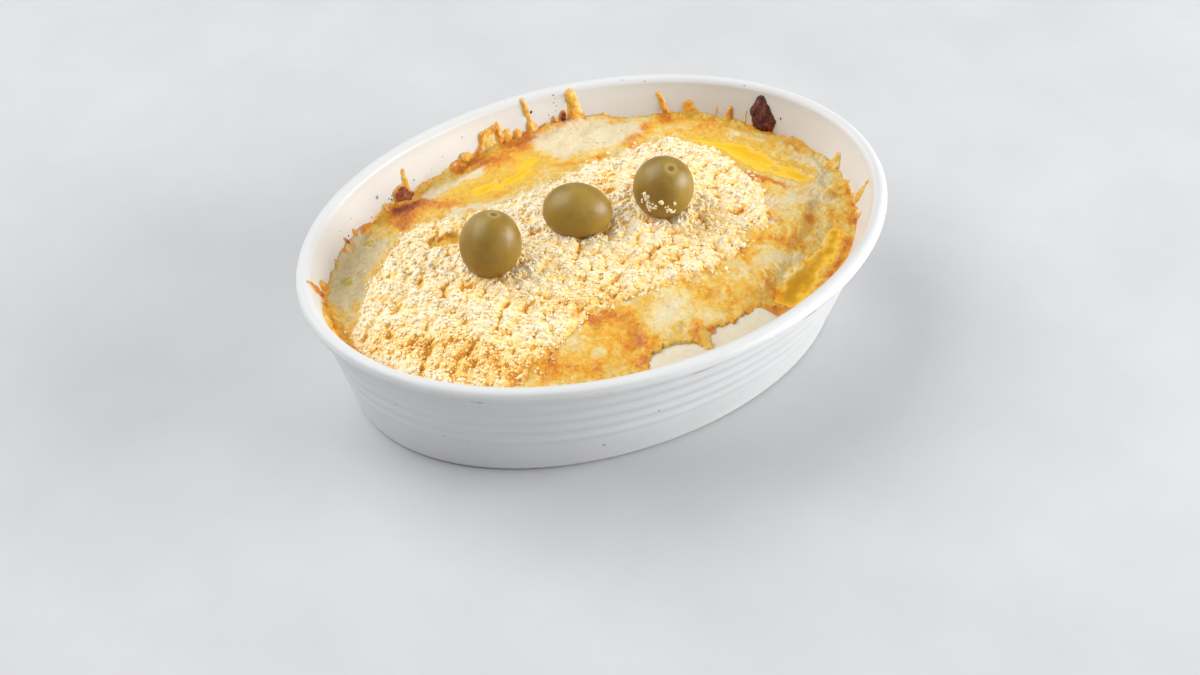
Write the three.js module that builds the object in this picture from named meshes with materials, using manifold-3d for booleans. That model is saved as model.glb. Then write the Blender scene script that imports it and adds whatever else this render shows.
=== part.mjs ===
// A vegetable lasagna baked in an oval stoneware dish, with grated cheese and three green olives on top.
// Millimetres, +Z up. The origin is the middle of the foot, +X runs along the dish and +Y to its back.
import * as THREE from "three";
import { mergeVertices } from "three/addons/utils/BufferGeometryUtils.js";
import Module from "manifold-3d";

const wasm = await Module();
wasm.setup();

// Driving dimensions of the dish
const rimLength = 210;
const rimWidth = 156.2;
const footLength = 179.6;
const footWidth = 121.6;
const dishHeight = 49.6;
const lipRadius = 2.35;
const lipOverhang = 1.8;
const floorThickness = 6;
const footWallThickness = 5.4;
const floorInset = 4;
const footBevel = 1.2;
const floorFillet = 6;
const floorRound = { inset: 1.6, rise: 1.2 };
const lipGroove = 0.6;
const ribCount = 4;
const ribPitch = 6.3;
const lowestRibHeight = 18.2;
const ribDepth = 0.45;
const roundSides = 64;

// Driving dimensions of the food
const clearance = 0.35;
const edgeHeight = 36;
const domeRise = 5;
const heapEdgeThickness = 1.4;
const heapCell = 3.9;
const crumbRoughness = 0.75;
const grainRadius = 1.15;
const grainCount = 36;
const oliveGap = 14;

// The dish's outline is an ellipse at every level. Its half width follows its half length, so that
// the wall leans out evenly all round, and the outlines of the flat floor shrink to its middle.
const widthPerLength = (rimWidth - footWidth) / (rimLength - footLength);
const floorHalfLength = footLength / 2 - footWallThickness - floorInset;

function halfWidthAt(halfLength) {
  const wall = (length) => footWidth / 2 + (length - footLength / 2) * widthPerLength;
  if (halfLength > floorHalfLength) return wall(halfLength);
  return (wall(floorHalfLength) * halfLength) / floorHalfLength;
}

function outerHalfLength(height) {
  const lean = (rimLength - footLength) / 2 - lipOverhang;
  return footLength / 2 + (lean * height) / dishHeight;
}

const innerTop = { halfLength: rimLength / 2 - 2 * lipRadius, height: dishHeight - lipRadius };
const innerFoot = { halfLength: footLength / 2 - footWallThickness, height: floorThickness };

function innerHalfLength(height) {
  const share = (height - innerFoot.height) / (innerTop.height - innerFoot.height);
  return THREE.MathUtils.lerp(innerFoot.halfLength, innerTop.halfLength, share);
}

// A point of the oval at a plan angle, where angle is the ellipse's own parameter.
function ovalPoint(halfLength, angle, height) {
  return new THREE.Vector3(
    halfLength * Math.cos(angle),
    halfWidthAt(halfLength) * Math.sin(angle),
    height,
  );
}

// A point inside the dish, a depth in from the inner wall at that height.
function wallPoint(angle, height, depth) {
  return ovalPoint(innerHalfLength(height) - depth, angle, height);
}

// Millimetres along the inner wall for one radian of the ellipse's parameter.
function wallPace(angle, height) {
  const halfLength = innerHalfLength(height);
  return Math.hypot(halfLength * Math.sin(angle), halfWidthAt(halfLength) * Math.cos(angle));
}

// A three.js geometry as a closed solid: equal vertices are merged and empty triangles dropped.
function solidOf(geometry) {
  const bare = new THREE.BufferGeometry();
  bare.setAttribute("position", geometry.getAttribute("position"));
  bare.setIndex(geometry.getIndex());
  const merged = mergeVertices(bare, 1e-4);
  const index = merged.getIndex().array;
  const kept = [];
  for (let i = 0; i < index.length; i += 3) {
    const [a, b, c] = index.subarray(i, i + 3);
    if (a !== b && b !== c && c !== a) kept.push(a, b, c);
  }
  const vertProperties = merged.getAttribute("position").array;
  return new wasm.Manifold(
    new wasm.Mesh({ numProp: 3, vertProperties, triVerts: Uint32Array.from(kept) }),
  );
}

function meshOf(name, solid, material) {
  const { vertProperties, triVerts } = solid.getMesh();
  const geometry = new THREE.BufferGeometry();
  geometry.setAttribute("position", new THREE.BufferAttribute(vertProperties, 3));
  geometry.setIndex(new THREE.BufferAttribute(triVerts, 1));
  geometry.computeVertexNormals();
  const mesh = new THREE.Mesh(geometry, material);
  mesh.name = name;
  return mesh;
}

// Moves every vertex of a geometry to the place that a function gives for its old one.
function reshape(geometry, placeOf) {
  const position = geometry.getAttribute("position");
  const old = new THREE.Vector3();
  for (let i = 0; i < position.count; i++) {
    old.fromBufferAttribute(position, i);
    const place = placeOf(old, i);
    position.setXYZ(i, place.x, place.y, place.z);
  }
  return geometry;
}

// Turns a profile of half length and height round the oval. The profile starts and ends on the axis.
function ovalLathe(profile, placeOf = (halfLength, angle, height) => ovalPoint(halfLength, angle, height)) {
  const points = profile.map(([halfLength, height]) => new THREE.Vector2(halfLength, height));
  const lathe = new THREE.LatheGeometry(points, roundSides);
  return reshape(lathe, (old, i) => {
    const [halfLength, height] = profile[i % profile.length];
    const side = Math.floor(i / profile.length) % roundSides;
    return placeOf(halfLength, (side / roundSides) * 2 * Math.PI, height, i % profile.length);
  });
}

// A closed smooth outline through a few points, as a prism between two heights.
function outlinePrism(corners, bottom, top, divisions) {
  const curve = new THREE.CatmullRomCurve3(
    corners.map(([x, y]) => new THREE.Vector3(x, y, 0)),
    true,
  );
  const outline = curve.getPoints(divisions).slice(0, divisions);
  const shape = new THREE.Shape(outline.map(({ x, y }) => new THREE.Vector2(x, y)));
  const prism = new THREE.ExtrudeGeometry(shape, { depth: top - bottom, bevelEnabled: false });
  return prism.translate(0, 0, bottom);
}

// The same random draws on every run.
function seededRandom(seed) {
  let state = seed;
  return () => {
    state = (state * 1664525 + 1013904223) % 4294967296;
    return state / 4294967296;
  };
}

// The dish: a flat foot, a ribbed wall, a rolled lip and a plain inside.
function dishGeometry() {
  const profile = [
    [0, 0],
    [footLength / 2 - footBevel, 0],
    [outerHalfLength(footBevel), footBevel],
  ];
  for (let rib = 0; rib < ribCount; rib++) {
    const crest = lowestRibHeight + rib * ribPitch;
    const foot = crest - ribPitch / 2;
    profile.push([outerHalfLength(foot) - ribDepth / 2, foot]);
    profile.push([outerHalfLength(crest) + ribDepth / 2, crest]);
  }
  const underLip = dishHeight - 2 * lipRadius - lipGroove;
  profile.push([outerHalfLength(underLip) - ribDepth, underLip]);
  const lipSteps = 8;
  for (let step = 0; step <= lipSteps; step++) {
    const turn = THREE.MathUtils.degToRad(THREE.MathUtils.lerp(-60, 180, step / lipSteps));
    profile.push([
      rimLength / 2 - lipRadius + lipRadius * Math.cos(turn),
      dishHeight - lipRadius + lipRadius * Math.sin(turn),
    ]);
  }
  profile.push(...insideProfile(0).reverse());
  return ovalLathe(profile);
}

// The inside from the middle of the floor to the top of the wall, drawn in by a gap.
function insideProfile(gap) {
  const filletTop = floorThickness + floorFillet;
  const filletMiddle = innerHalfLength(floorThickness + floorFillet / 3) - floorRound.inset;
  return [
    [0, floorThickness + gap],
    [floorHalfLength - gap, floorThickness + gap],
    [filletMiddle - gap, floorThickness + floorRound.rise + gap],
    [innerHalfLength(filletTop) - gap, filletTop],
  ];
}

// Broad swells and hollows of the baked cheese: plan place, radius, and rise.
const cheeseSwells = [
  { x: 1, y: -45, radius: 13, rise: 2.4 },
  { x: -36, y: -45, radius: 13, rise: 1.1 },
  { x: 27, y: -43, radius: 9, rise: 1.2 },
  { x: 47, y: -25, radius: 12, rise: 2.2 },
  { x: 62, y: -12, radius: 10, rise: 1.4 },
  { x: 82, y: 2, radius: 8, rise: 1.6 },
  { x: 74, y: 28, radius: 9, rise: 0.8 },
  { x: 44, y: 48, radius: 9, rise: 1.2 },
  { x: 20, y: 55, radius: 13, rise: 0.9 },
  { x: -6, y: 62, radius: 8, rise: 1.2 },
  { x: -46, y: 53, radius: 8, rise: 1 },
  { x: -76, y: 33, radius: 12, rise: -1.2 },
];

// Melted butter and oil stand in hollows of the cheese. The bed is the hollow's middle line.
const oilPools = [
  {
    name: "oil_pool_right",
    bed: [[36, -57], [47, -52], [58, -46.5], [67, -40], [76, -31]],
    radius: 6.5,
    depth: 5,
    level: 35.3,
    outline: [
      [33, -60], [45, -58], [64, -48], [80, -34], [86, -22], [77, -20], [60, -33], [43, -44], [33, -51],
    ],
  },
  {
    name: "oil_pool_back",
    bed: [[61, 36], [66, 28], [71, 19], [75, 10], [78, 1]],
    radius: 6,
    depth: 4,
    level: 37.3,
    outline: [
      [55, 42], [66, 43], [76, 29], [84, 12], [87, -2], [80, -10], [73, -3], [67, 8], [66, 18], [61.5, 29],
    ],
  },
  {
    name: "oil_pool_left",
    bed: [[-30, 44], [-18, 47], [-6, 49], [5, 51]],
    radius: 5,
    depth: 3.6,
    level: 37.7,
    outline: [[-40, 40], [-28, 53], [-8, 58], [10, 59], [14, 50], [4, 42], [-14, 40], [-30, 36]],
  },
];

// How far a place is from the nearest leg of a line through the corners.
function lineDistance(corners, x, y) {
  const legs = corners.slice(1).map(([endX, endY], i) => {
    const [startX, startY] = corners[i];
    const run = endX - startX;
    const rise = endY - startY;
    const share = ((x - startX) * run + (y - startY) * rise) / (run * run + rise * rise);
    const nearest = THREE.MathUtils.clamp(share, 0, 1);
    return Math.hypot(x - startX - nearest * run, y - startY - nearest * rise);
  });
  return Math.min(...legs);
}

function bedDepth(pool, x, y) {
  const away = lineDistance(pool.bed, x, y) / pool.radius;
  return pool.depth * Math.exp(-away * away);
}

// The food stands higher on the wall in some places than in others.
function edgeSwell(angle) {
  return 1.1 * Math.sin(2 * angle + 0.3) + 0.7 * Math.sin(5 * angle + 1.1) + 0.4 * Math.sin(9 * angle);
}

// Small uneven waves of the baked top.
function cheeseWaves(x, y) {
  return 0.2 * Math.sin(0.37 * x + 0.9) * Math.cos(0.33 * y) + 0.14 * Math.sin(0.71 * x - 0.52 * y + 2);
}

const nominalLength = innerHalfLength(edgeHeight);
const nominalWidth = halfWidthAt(nominalLength);

// The height of the baked top at a place in the plan.
function coverHeight(x, y) {
  const out = Math.min(1, Math.hypot(x / nominalLength, y / nominalWidth));
  const angle = Math.atan2(y / nominalWidth, x / nominalLength);
  let height = edgeHeight + domeRise * (1 - out ** 2.4) + edgeSwell(angle) * out ** 6 + cheeseWaves(x, y);
  for (const swell of cheeseSwells) {
    const away = Math.hypot(x - swell.x, y - swell.y) / swell.radius;
    height += swell.rise * Math.exp(-away * away);
  }
  for (const pool of oilPools) height -= bedDepth(pool, x, y);
  return height;
}

// The lasagna fills the dish to its inner wall. The last rings of its profile are shares of the oval.
const coverRings = [1, 0.965, 0.925, 0.88, 0.83, 0.77, 0.7, 0.62, 0.53, 0.42, 0.25, 0];

function lasagnaBody() {
  const sides = insideProfile(clearance);
  const profile = [...sides, ...coverRings.map((share) => [share, edgeHeight])];
  return ovalLathe(profile, (halfLength, angle, height, row) => {
    if (row < sides.length) return ovalPoint(halfLength, angle, height);
    const share = halfLength;
    const x = share * nominalLength * Math.cos(angle);
    const y = share * nominalWidth * Math.sin(angle);
    const top = coverHeight(x, y);
    if (share === 1) return wallPoint(angle, top, clearance);
    return new THREE.Vector3(x, y, top);
  });
}

// Tongues of cheese that baked on to the wall: plan angle in degrees, height of the tip, width, lean.
const cheeseTongues = [
  { angle: -27, tip: 38, width: 4 },
  { angle: -20, tip: 44.5, width: 3, lean: 1 },
  { angle: -11, tip: 38.5, width: 3 },
  { angle: -2, tip: 40, width: 6 },
  { angle: 13, tip: 38.6, width: 8 },
  { angle: 25, tip: 47.3, width: 9, lean: 2.5, thickness: 3.4, blunt: true },
  { angle: 34.5, tip: 41.5, width: 2.6 },
  { angle: 44.5, tip: 42, width: 7.5 },
  { angle: 52, tip: 45, width: 3, lean: 1.5 },
  { angle: 57.5, tip: 38.8, width: 5 },
  { angle: 73, tip: 47.3, width: 7, thickness: 1.5 },
  { angle: 83.5, tip: 47.2, width: 3.4, lean: 1 },
  { angle: 95, tip: 44.8, width: 7, lean: -3 },
  { angle: 101, tip: 39, width: 3.4 },
  { angle: 116, tip: 44, width: 3, lean: -1 },
  { angle: 125.5, tip: 38.6, width: 4 },
  { angle: 137.5, tip: 39.6, width: 4 },
  { angle: 145, tip: 38.8, width: 5 },
  { angle: 158.5, tip: 42.5, width: 6 },
  { angle: 166.5, tip: 47, width: 3, lean: 1 },
];
const tongueRootHeight = 30;
const tongueThickness = 1.3;

function tongueSolid({ angle, tip, width, lean = 0, thickness = tongueThickness, blunt = false }) {
  const steps = 4;
  const facets = 5;
  const tongue = new THREE.CylinderGeometry(1, 1, 1, facets, steps);
  return solidOf(reshape(tongue, ({ x, y, z }) => {
    const rise = y + 0.5;
    const height = THREE.MathUtils.lerp(tongueRootHeight, tip, rise);
    const taper = blunt ? 1 - 0.62 * rise ** 3 : 1 - 0.85 * rise ** 1.5;
    const along = THREE.MathUtils.degToRad(angle + lean * rise);
    const sideways = (z * taper * width) / 2 / wallPace(along, height);
    const depth = clearance + (0.5 + 0.5 * x) * thickness * (1 - 0.5 * rise);
    return wallPoint(along + sideways, height, depth);
  }));
}

// White sauce that welled up between the crust and the front wall, flat on top with blunt ends.
const sauce = { from: -103, to: -70, height: 35.4, rise: 2.3, depth: 12.5 };
const sauceRoundness = { ends: 0.3, top: 0.4, sides: 0.8 };

function sauceSolid(growth) {
  const ball = new THREE.SphereGeometry(1, 10, 16);
  const from = THREE.MathUtils.degToRad(sauce.from);
  const to = THREE.MathUtils.degToRad(sauce.to);
  const middle = (from + to) / 2;
  const halfSpan = (to - from) / 2 + growth / wallPace(middle, sauce.height);
  const halfDepth = sauce.depth / 2;
  const flattened = (value, power) => Math.sign(value) * Math.abs(value) ** power;
  return solidOf(reshape(ball, ({ x, y, z }) => {
    const fullness = Math.max(1e-6, Math.hypot(x, z));
    const blunt = fullness > 1e-4 ? fullness ** sauceRoundness.ends : 0;
    const upward = flattened(x / fullness, sauceRoundness.top) * blunt;
    const sideways = flattened(z / fullness, sauceRoundness.sides) * blunt;
    const height = sauce.height + upward * (sauce.rise + growth);
    const inward = halfDepth + sideways * (halfDepth + growth) + clearance;
    return wallPoint(middle + y * halfSpan, height, Math.max(inward, clearance - growth));
  }));
}

// Green olives, each a lathe a little fuller towards its stem end, which has a dimple.
const olives = [
  { name: "olive_left", place: [-40.4, 1.5, 53.2], axis: [0.17, 0.05, 0.98], length: 23.8, width: 20.3 },
  { name: "olive_middle", place: [-6.2, 3.9, 51.8], axis: [-0.83, 0.56, 0.06], length: 23.6, width: 18.9 },
  { name: "olive_right", place: [23.9, -1.8, 53.4], axis: [0.01, -0.36, 0.93], length: 23.6, width: 20.6 },
];
const stemDimple = 0.7;

function oliveSolid({ place, axis, length, width }, growth) {
  const steps = 9;
  const profile = [];
  for (let step = 0; step <= steps; step++) {
    const turn = (step / steps) * Math.PI;
    const fullness = 1 - 0.06 * Math.cos(turn) ** 2 - 0.05 * Math.cos(turn);
    const radius = (width / 2 + growth) * Math.sin(turn) * fullness;
    const along = -(length / 2 + growth) * Math.cos(turn);
    profile.push(new THREE.Vector2(step === steps ? 0 : radius, step === steps ? along - stemDimple : along));
  }
  profile[0].x = 0;
  const olive = new THREE.LatheGeometry(profile, 16);
  const turnTo = new THREE.Quaternion().setFromUnitVectors(
    new THREE.Vector3(0, 1, 0),
    new THREE.Vector3(...axis).normalize(),
  );
  return solidOf(olive.applyQuaternion(turnTo).translate(...place));
}

// Grated hard cheese strewn over the middle and the left of the lasagna.
const heapOutline = [
  [-92, 2], [-80, 22], [-64, 35], [-48, 38], [-28, 33], [-2, 34], [22, 35], [46, 38], [58, 30], [63, 12],
  [60, -9], [52, -20], [36, -29], [14, -33], [-12, -31], [-34, -35], [-50, -45], [-66, -47], [-81, -33],
  [-90, -16],
];
const heapMounds = [
  { x: -66, y: -8, radius: 26, rise: 2.6 },
  { x: -38, y: -4, radius: 24, rise: 2.7 },
  { x: -6, y: 0, radius: 24, rise: 3 },
  { x: 26, y: 4, radius: 24, rise: 3.4 },
  { x: -58, y: -32, radius: 14, rise: 1.6 },
  { x: 46, y: 18, radius: 14, rise: 1.4 },
];

function heapHeight(x, y) {
  const mounds = heapMounds.map((mound) => {
    const away = Math.hypot(x - mound.x, y - mound.y) / mound.radius;
    return mound.rise * Math.exp(-away * away);
  });
  return coverHeight(x, y) + heapEdgeThickness + mounds.reduce((sum, rise) => sum + rise, 0);
}

function heapSlab() {
  const columns = heapOutline.map(([x]) => x);
  const rows = heapOutline.map(([, y]) => y);
  const margin = 3;
  const low = new THREE.Vector2(Math.min(...columns) - margin, Math.min(...rows) - margin);
  const high = new THREE.Vector2(Math.max(...columns) + margin, Math.max(...rows) + margin);
  const size = high.clone().sub(low);
  const cells = size.clone().divideScalar(heapCell).round();
  const slab = new THREE.BoxGeometry(size.x, size.y, 2, cells.x, cells.y, 1);
  slab.translate((low.x + high.x) / 2, (low.y + high.y) / 2, 0);
  const random = seededRandom(11);
  const roughness = new Map();
  return solidOf(reshape(slab, ({ x, y, z }) => {
    if (z < 0) return new THREE.Vector3(x, y, edgeHeight - domeRise);
    const cell = `${x.toFixed(2)} ${y.toFixed(2)}`;
    if (!roughness.has(cell)) roughness.set(cell, (2 * random() - 1) * crumbRoughness);
    return new THREE.Vector3(x, y, heapHeight(x, y) + roughness.get(cell));
  }));
}

function insideOutline(outline, x, y) {
  let inside = false;
  outline.forEach(([x1, y1], i) => {
    const [x2, y2] = outline[(i + 1) % outline.length];
    const crosses = y1 > y !== y2 > y && x < ((x2 - x1) * (y - y1)) / (y2 - y1) + x1;
    if (crosses) inside = !inside;
  });
  return inside;
}

// Single grains that stand proud of the heap, away from the olives.
function grainSolids() {
  const random = seededRandom(29);
  const grains = [];
  while (grains.length < grainCount) {
    const x = rimLength * (random() - 0.5);
    const y = rimWidth * (random() - 0.5);
    const radius = grainRadius * THREE.MathUtils.lerp(0.8, 1.3, random());
    const nearOlive = olives.some(({ place }) => Math.hypot(x - place[0], y - place[1]) < oliveGap);
    if (nearOlive || !insideOutline(heapOutline, x, y)) continue;
    const grain = new THREE.IcosahedronGeometry(radius, 0);
    grains.push(solidOf(grain.translate(x, y, heapHeight(x, y) + 0.3 * radius)));
  }
  return grains;
}

// What remains of a cut solid is its largest body, without loose scraps.
function largestBody(solid) {
  const bodies = solid.decompose();
  return bodies.reduce((largest, body) => (body.volume() > largest.volume() ? body : largest));
}

function together(solids) {
  return solids.reduce((joined, solid) => joined.add(solid));
}

const glaze = new THREE.MeshStandardMaterial({ color: 0xdedcd8, roughness: 0.32, metalness: 0 });
const bakedCheese = new THREE.MeshStandardMaterial({ color: 0xe2b056, roughness: 0.45, metalness: 0 });
const gratedCheese = new THREE.MeshStandardMaterial({ color: 0xf3dfb4, roughness: 0.85, metalness: 0 });
const whiteSauce = new THREE.MeshStandardMaterial({ color: 0xe9dfc2, roughness: 0.35, metalness: 0 });
const meltedOil = new THREE.MeshStandardMaterial({ color: 0xd9a21b, roughness: 0.12, metalness: 0 });
const oliveSkin = new THREE.MeshStandardMaterial({ color: 0x8a7d38, roughness: 0.3, metalness: 0 });

const bareLasagna = together([solidOf(lasagnaBody()), ...cheeseTongues.map(tongueSolid)]);
const sauceSeat = together([sauceSolid(clearance), sauceSolid(clearance).translate([0, 0, sauce.rise])]);
const lasagna = largestBody(bareLasagna.subtract(sauceSeat));
const raisedLasagna = lasagna.translate([0, 0, clearance]);

const oliveSeats = together(olives.map((olive) => oliveSolid(olive, clearance)));
const heapPrism = solidOf(outlinePrism(heapOutline, edgeHeight - domeRise, dishHeight + 10, 72));
const heap = together([heapSlab().intersect(heapPrism), ...grainSolids()]);
const gratedHeap = largestBody(heap.subtract(raisedLasagna).subtract(oliveSeats));

const lasagnaInDish = new THREE.Group();
lasagnaInDish.name = "lasagna_in_dish";
lasagnaInDish.add(meshOf("dish", solidOf(dishGeometry()), glaze));
lasagnaInDish.add(meshOf("lasagna", lasagna, bakedCheese));
lasagnaInDish.add(meshOf("white_sauce", sauceSolid(0), whiteSauce));
lasagnaInDish.add(meshOf("grated_cheese", gratedHeap, gratedCheese));
for (const pool of oilPools) {
  const flood = solidOf(outlinePrism(pool.outline, pool.level - pool.depth - 2, pool.level, 40));
  const oil = largestBody(flood.subtract(raisedLasagna));
  lasagnaInDish.add(meshOf(pool.name, oil, meltedOil));
}
for (const olive of olives) lasagnaInDish.add(meshOf(olive.name, oliveSolid(olive, 0), oliveSkin));

export default lasagnaInDish;
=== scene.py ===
import math
import random

import bmesh
import bpy
import numpy as np
from mathutils import Matrix, Quaternion, Vector, noise


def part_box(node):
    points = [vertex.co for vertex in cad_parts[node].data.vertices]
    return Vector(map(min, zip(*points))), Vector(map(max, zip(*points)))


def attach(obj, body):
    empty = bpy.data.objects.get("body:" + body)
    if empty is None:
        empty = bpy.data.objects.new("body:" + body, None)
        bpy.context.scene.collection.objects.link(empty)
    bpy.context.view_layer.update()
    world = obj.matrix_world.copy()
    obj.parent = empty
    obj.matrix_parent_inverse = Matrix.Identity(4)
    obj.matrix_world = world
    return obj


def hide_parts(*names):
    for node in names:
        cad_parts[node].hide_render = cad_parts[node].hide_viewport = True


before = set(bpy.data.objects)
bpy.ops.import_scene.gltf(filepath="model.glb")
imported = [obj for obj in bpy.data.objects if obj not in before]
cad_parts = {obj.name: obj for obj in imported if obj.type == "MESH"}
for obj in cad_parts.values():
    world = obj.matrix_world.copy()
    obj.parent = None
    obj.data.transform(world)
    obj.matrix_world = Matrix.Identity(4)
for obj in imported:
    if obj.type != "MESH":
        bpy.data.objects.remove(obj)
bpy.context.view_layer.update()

# The view: a 54 mm lens about 42 degrees above the table, a little left of the dish's front,
# with the middle of the picture just in front of the middle of the dish.
camera_place = Vector((-0.2412, -0.4058, 0.4252))
camera_target = Vector((-0.0028, -0.0050, 0.0))

camera_data = bpy.data.cameras.new("camera")
camera_data.sensor_width = 36
camera_data.lens = 54
camera = bpy.data.objects.new("camera", camera_data)
camera.location = camera_place
camera.rotation_euler = (camera_target - camera_place).to_track_quat("-Z", "Y").to_euler()
bpy.context.scene.collection.objects.link(camera)
bpy.context.scene.camera = camera
bpy.context.scene.view_settings.view_transform = "Standard"

# The table: a plain pale floor that the dish stands on, under soft studio light.
# A big window lights it from the left and behind, and a second one from the right and in front.
# The lights' lengths are metres. All others are millimetres, and a finished piece is made metres.
MM = 0.001
floor_size = 6000


# A socket in an expression adds the Maths nodes that the expression needs.
class Socket:
    def __init__(self, paint, output):
        self.paint = paint
        self.output = output

    def __add__(self, other):
        return self.paint.maths("ADD", self, other)

    def __radd__(self, other):
        return self.paint.maths("ADD", other, self)

    def __sub__(self, other):
        return self.paint.maths("SUBTRACT", self, other)

    def __rsub__(self, other):
        return self.paint.maths("SUBTRACT", other, self)

    def __mul__(self, other):
        return self.paint.maths("MULTIPLY", self, other)

    def __rmul__(self, other):
        return self.paint.maths("MULTIPLY", other, self)

    def __truediv__(self, other):
        return self.paint.maths("DIVIDE", self, other)

    def __pow__(self, other):
        return self.paint.maths("POWER", self, other)


# A material: its patterns are sized in millimetres, and finish plugs sockets into its shader.
class Paint:
    def __init__(self, name, **constants):
        self.material = bpy.data.materials.new(name)
        self.material.use_nodes = True
        self.tree = self.material.node_tree
        self.shader = self.tree.nodes["Principled BSDF"]
        for socket, value in constants.items():
            self.shader.inputs[socket.replace("_", " ")].default_value = value
        self.place = self.node("ShaderNodeTexCoord", output="Object")

    def node(self, kind, settings=None, inputs=None, output=0):
        made = self.tree.nodes.new(kind)
        for key, value in (settings or {}).items():
            if key == "stops":
                self.set_stops(made.color_ramp, value)
            else:
                setattr(made, key, value)
        for key, value in (inputs or {}).items():
            self.plug(made.inputs[key], value)
        return Socket(self, made.outputs[output])

    def plug(self, target, value):
        if isinstance(value, Socket):
            self.tree.links.new(value.output, target)
        elif isinstance(value, tuple) and target.type == "RGBA" and len(value) == 3:
            target.default_value = (*value, 1)
        else:
            target.default_value = value

    def set_stops(self, ramp, stops):
        while len(ramp.elements) < len(stops):
            ramp.elements.new(0.5)
        for element, (position, colour) in zip(ramp.elements, stops):
            element.position = position
            element.color = (*colour, 1)

    def maths(self, operation, *values):
        return self.node("ShaderNodeMath", {"operation": operation}, dict(enumerate(values)))

    def mix(self, factor, first, second):
        settings = {"data_type": "RGBA", "clamp_factor": True}
        return self.node("ShaderNodeMix", settings, {0: factor, 6: first, 7: second}, output=2)

    def grade(self, value, low, high):
        settings = {"interpolation_type": "SMOOTHSTEP"}
        inputs = {"Value": value, "From Min": low, "From Max": high}
        return self.node("ShaderNodeMapRange", settings, inputs)

    def ramp(self, value, stops):
        return self.node("ShaderNodeValToRGB", {"stops": stops}, {"Fac": value})

    def attribute(self, name):
        return self.node("ShaderNodeAttribute", {"attribute_name": name}, output="Fac")

    def cloud(self, size, detail=4, roughness=0.55, warp=0):
        inputs = {
            "Vector": self.place,
            "Scale": 1 / (size * MM),
            "Detail": detail,
            "Roughness": roughness,
            "Distortion": warp,
        }
        return self.node("ShaderNodeTexNoise", None, inputs)

    def cells(self, size, output="Distance"):
        inputs = {"Vector": self.place, "Scale": 1 / (size * MM)}
        return self.node("ShaderNodeTexVoronoi", None, inputs, output)

    def axis(self, name):
        return self.node("ShaderNodeSeparateXYZ", None, {"Vector": self.place}, name) / MM

    def part(self, colour, channel):
        return self.node("ShaderNodeSeparateColor", None, {"Color": colour}, output=channel)

    def bump(self, height, depth, under=None):
        inputs = {"Height": height, "Distance": depth * MM, "Strength": 1}
        if under:
            inputs["Normal"] = under
        return self.node("ShaderNodeBump", None, inputs)

    def finish(self, **sockets):
        for socket, value in sockets.items():
            self.plug(self.shader.inputs[socket.replace("_", " ")], value)
        return self.material


floor_paint = Paint("pale_floor", Roughness=0.75)
floor_tone = floor_paint.ramp(
    floor_paint.cloud(60, 6), [(0.3, (0.53, 0.535, 0.545)), (0.7, (0.58, 0.585, 0.595))]
)
floor_mesh = bpy.data.meshes.new("floor")
bm = bmesh.new()
bmesh.ops.create_grid(bm, x_segments=1, y_segments=1, size=floor_size / 2 * MM)
bm.to_mesh(floor_mesh)
bm.free()
floor_mesh.materials.append(floor_paint.finish(Base_Color=floor_tone))
floor = bpy.data.objects.new("floor", floor_mesh)
bpy.context.scene.collection.objects.link(floor)


def soft_light(name, place, width, height, watts, target=(0, 0, 0.03)):
    data = bpy.data.lights.new(name, "AREA")
    data.shape = "RECTANGLE"
    data.size = width
    data.size_y = height
    data.energy = watts
    lamp = bpy.data.objects.new(name, data)
    lamp.location = place
    lamp.rotation_euler = (Vector(target) - Vector(place)).to_track_quat("-Z", "Y").to_euler()
    bpy.context.scene.collection.objects.link(lamp)


soft_light("left_window", (-0.75, 0.85, 1.25), 1.8, 1.5, 29)
soft_light("right_window", (1.1, -0.72, 0.42), 1.0, 0.6, 23)
world = bpy.data.worlds.new("white_room")
world.use_nodes = True
world.node_tree.nodes["Background"].inputs["Color"].default_value = (0.98, 0.985, 1, 1)
world.node_tree.nodes["Background"].inputs["Strength"].default_value = 0.42
bpy.context.scene.world = world

# The dish: slip-cast oval stoneware with a flat foot, a leaning wall with four soft ribs, and a
# rolled lip. It is dipped in white glaze, with iron specks, and shows its years in the oven.
dish_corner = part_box("dish")[1] / MM
rim_half_length = dish_corner.x
rim_half_width = dish_corner.y
dish_height = dish_corner.z
foot_half_length = 89.8
foot_half_width = 60.8
foot_bevel = 1.2
lip_radius = 2.35
lip_overhang = 1.8
floor_thickness = 6
foot_wall_thickness = 5.4
floor_fillet = 4
groove_depth, groove_width = 0.55, 1.1
rib_count = 4
rib_pitch = 6.3
lowest_rib = 18.2
rib_depth = 0.5
width_per_length = (rim_half_width - foot_half_width) / (rim_half_length - foot_half_length)
floor_half_length = foot_half_length - foot_wall_thickness - floor_fillet
inner_top = (rim_half_length - 2 * lip_radius, dish_height - lip_radius)
inner_foot = (foot_half_length - foot_wall_thickness, floor_thickness)


def mixed(low, high, share):
    return low + (high - low) * share


def eased(value, low, high):
    share = min(1, max(0, (value - low) / (high - low)))
    return share * share * (3 - 2 * share)


def half_width_at(half_length):
    wall = foot_half_width + (max(half_length, floor_half_length) - foot_half_length) * width_per_length
    return wall * min(1, half_length / floor_half_length)


def outer_half_length(height):
    lean = rim_half_length - foot_half_length - lip_overhang
    return foot_half_length + lean * height / dish_height


def inner_half_length(height):
    share = (height - inner_foot[1]) / (inner_top[1] - inner_foot[1])
    return mixed(inner_foot[0], inner_top[0], share)


def oval_point(half_length, angle, height):
    return Vector((half_length * math.cos(angle), half_width_at(half_length) * math.sin(angle), height))


def wall_point(degrees, height, depth):
    return oval_point(inner_half_length(height) - depth, math.radians(degrees), height)


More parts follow.
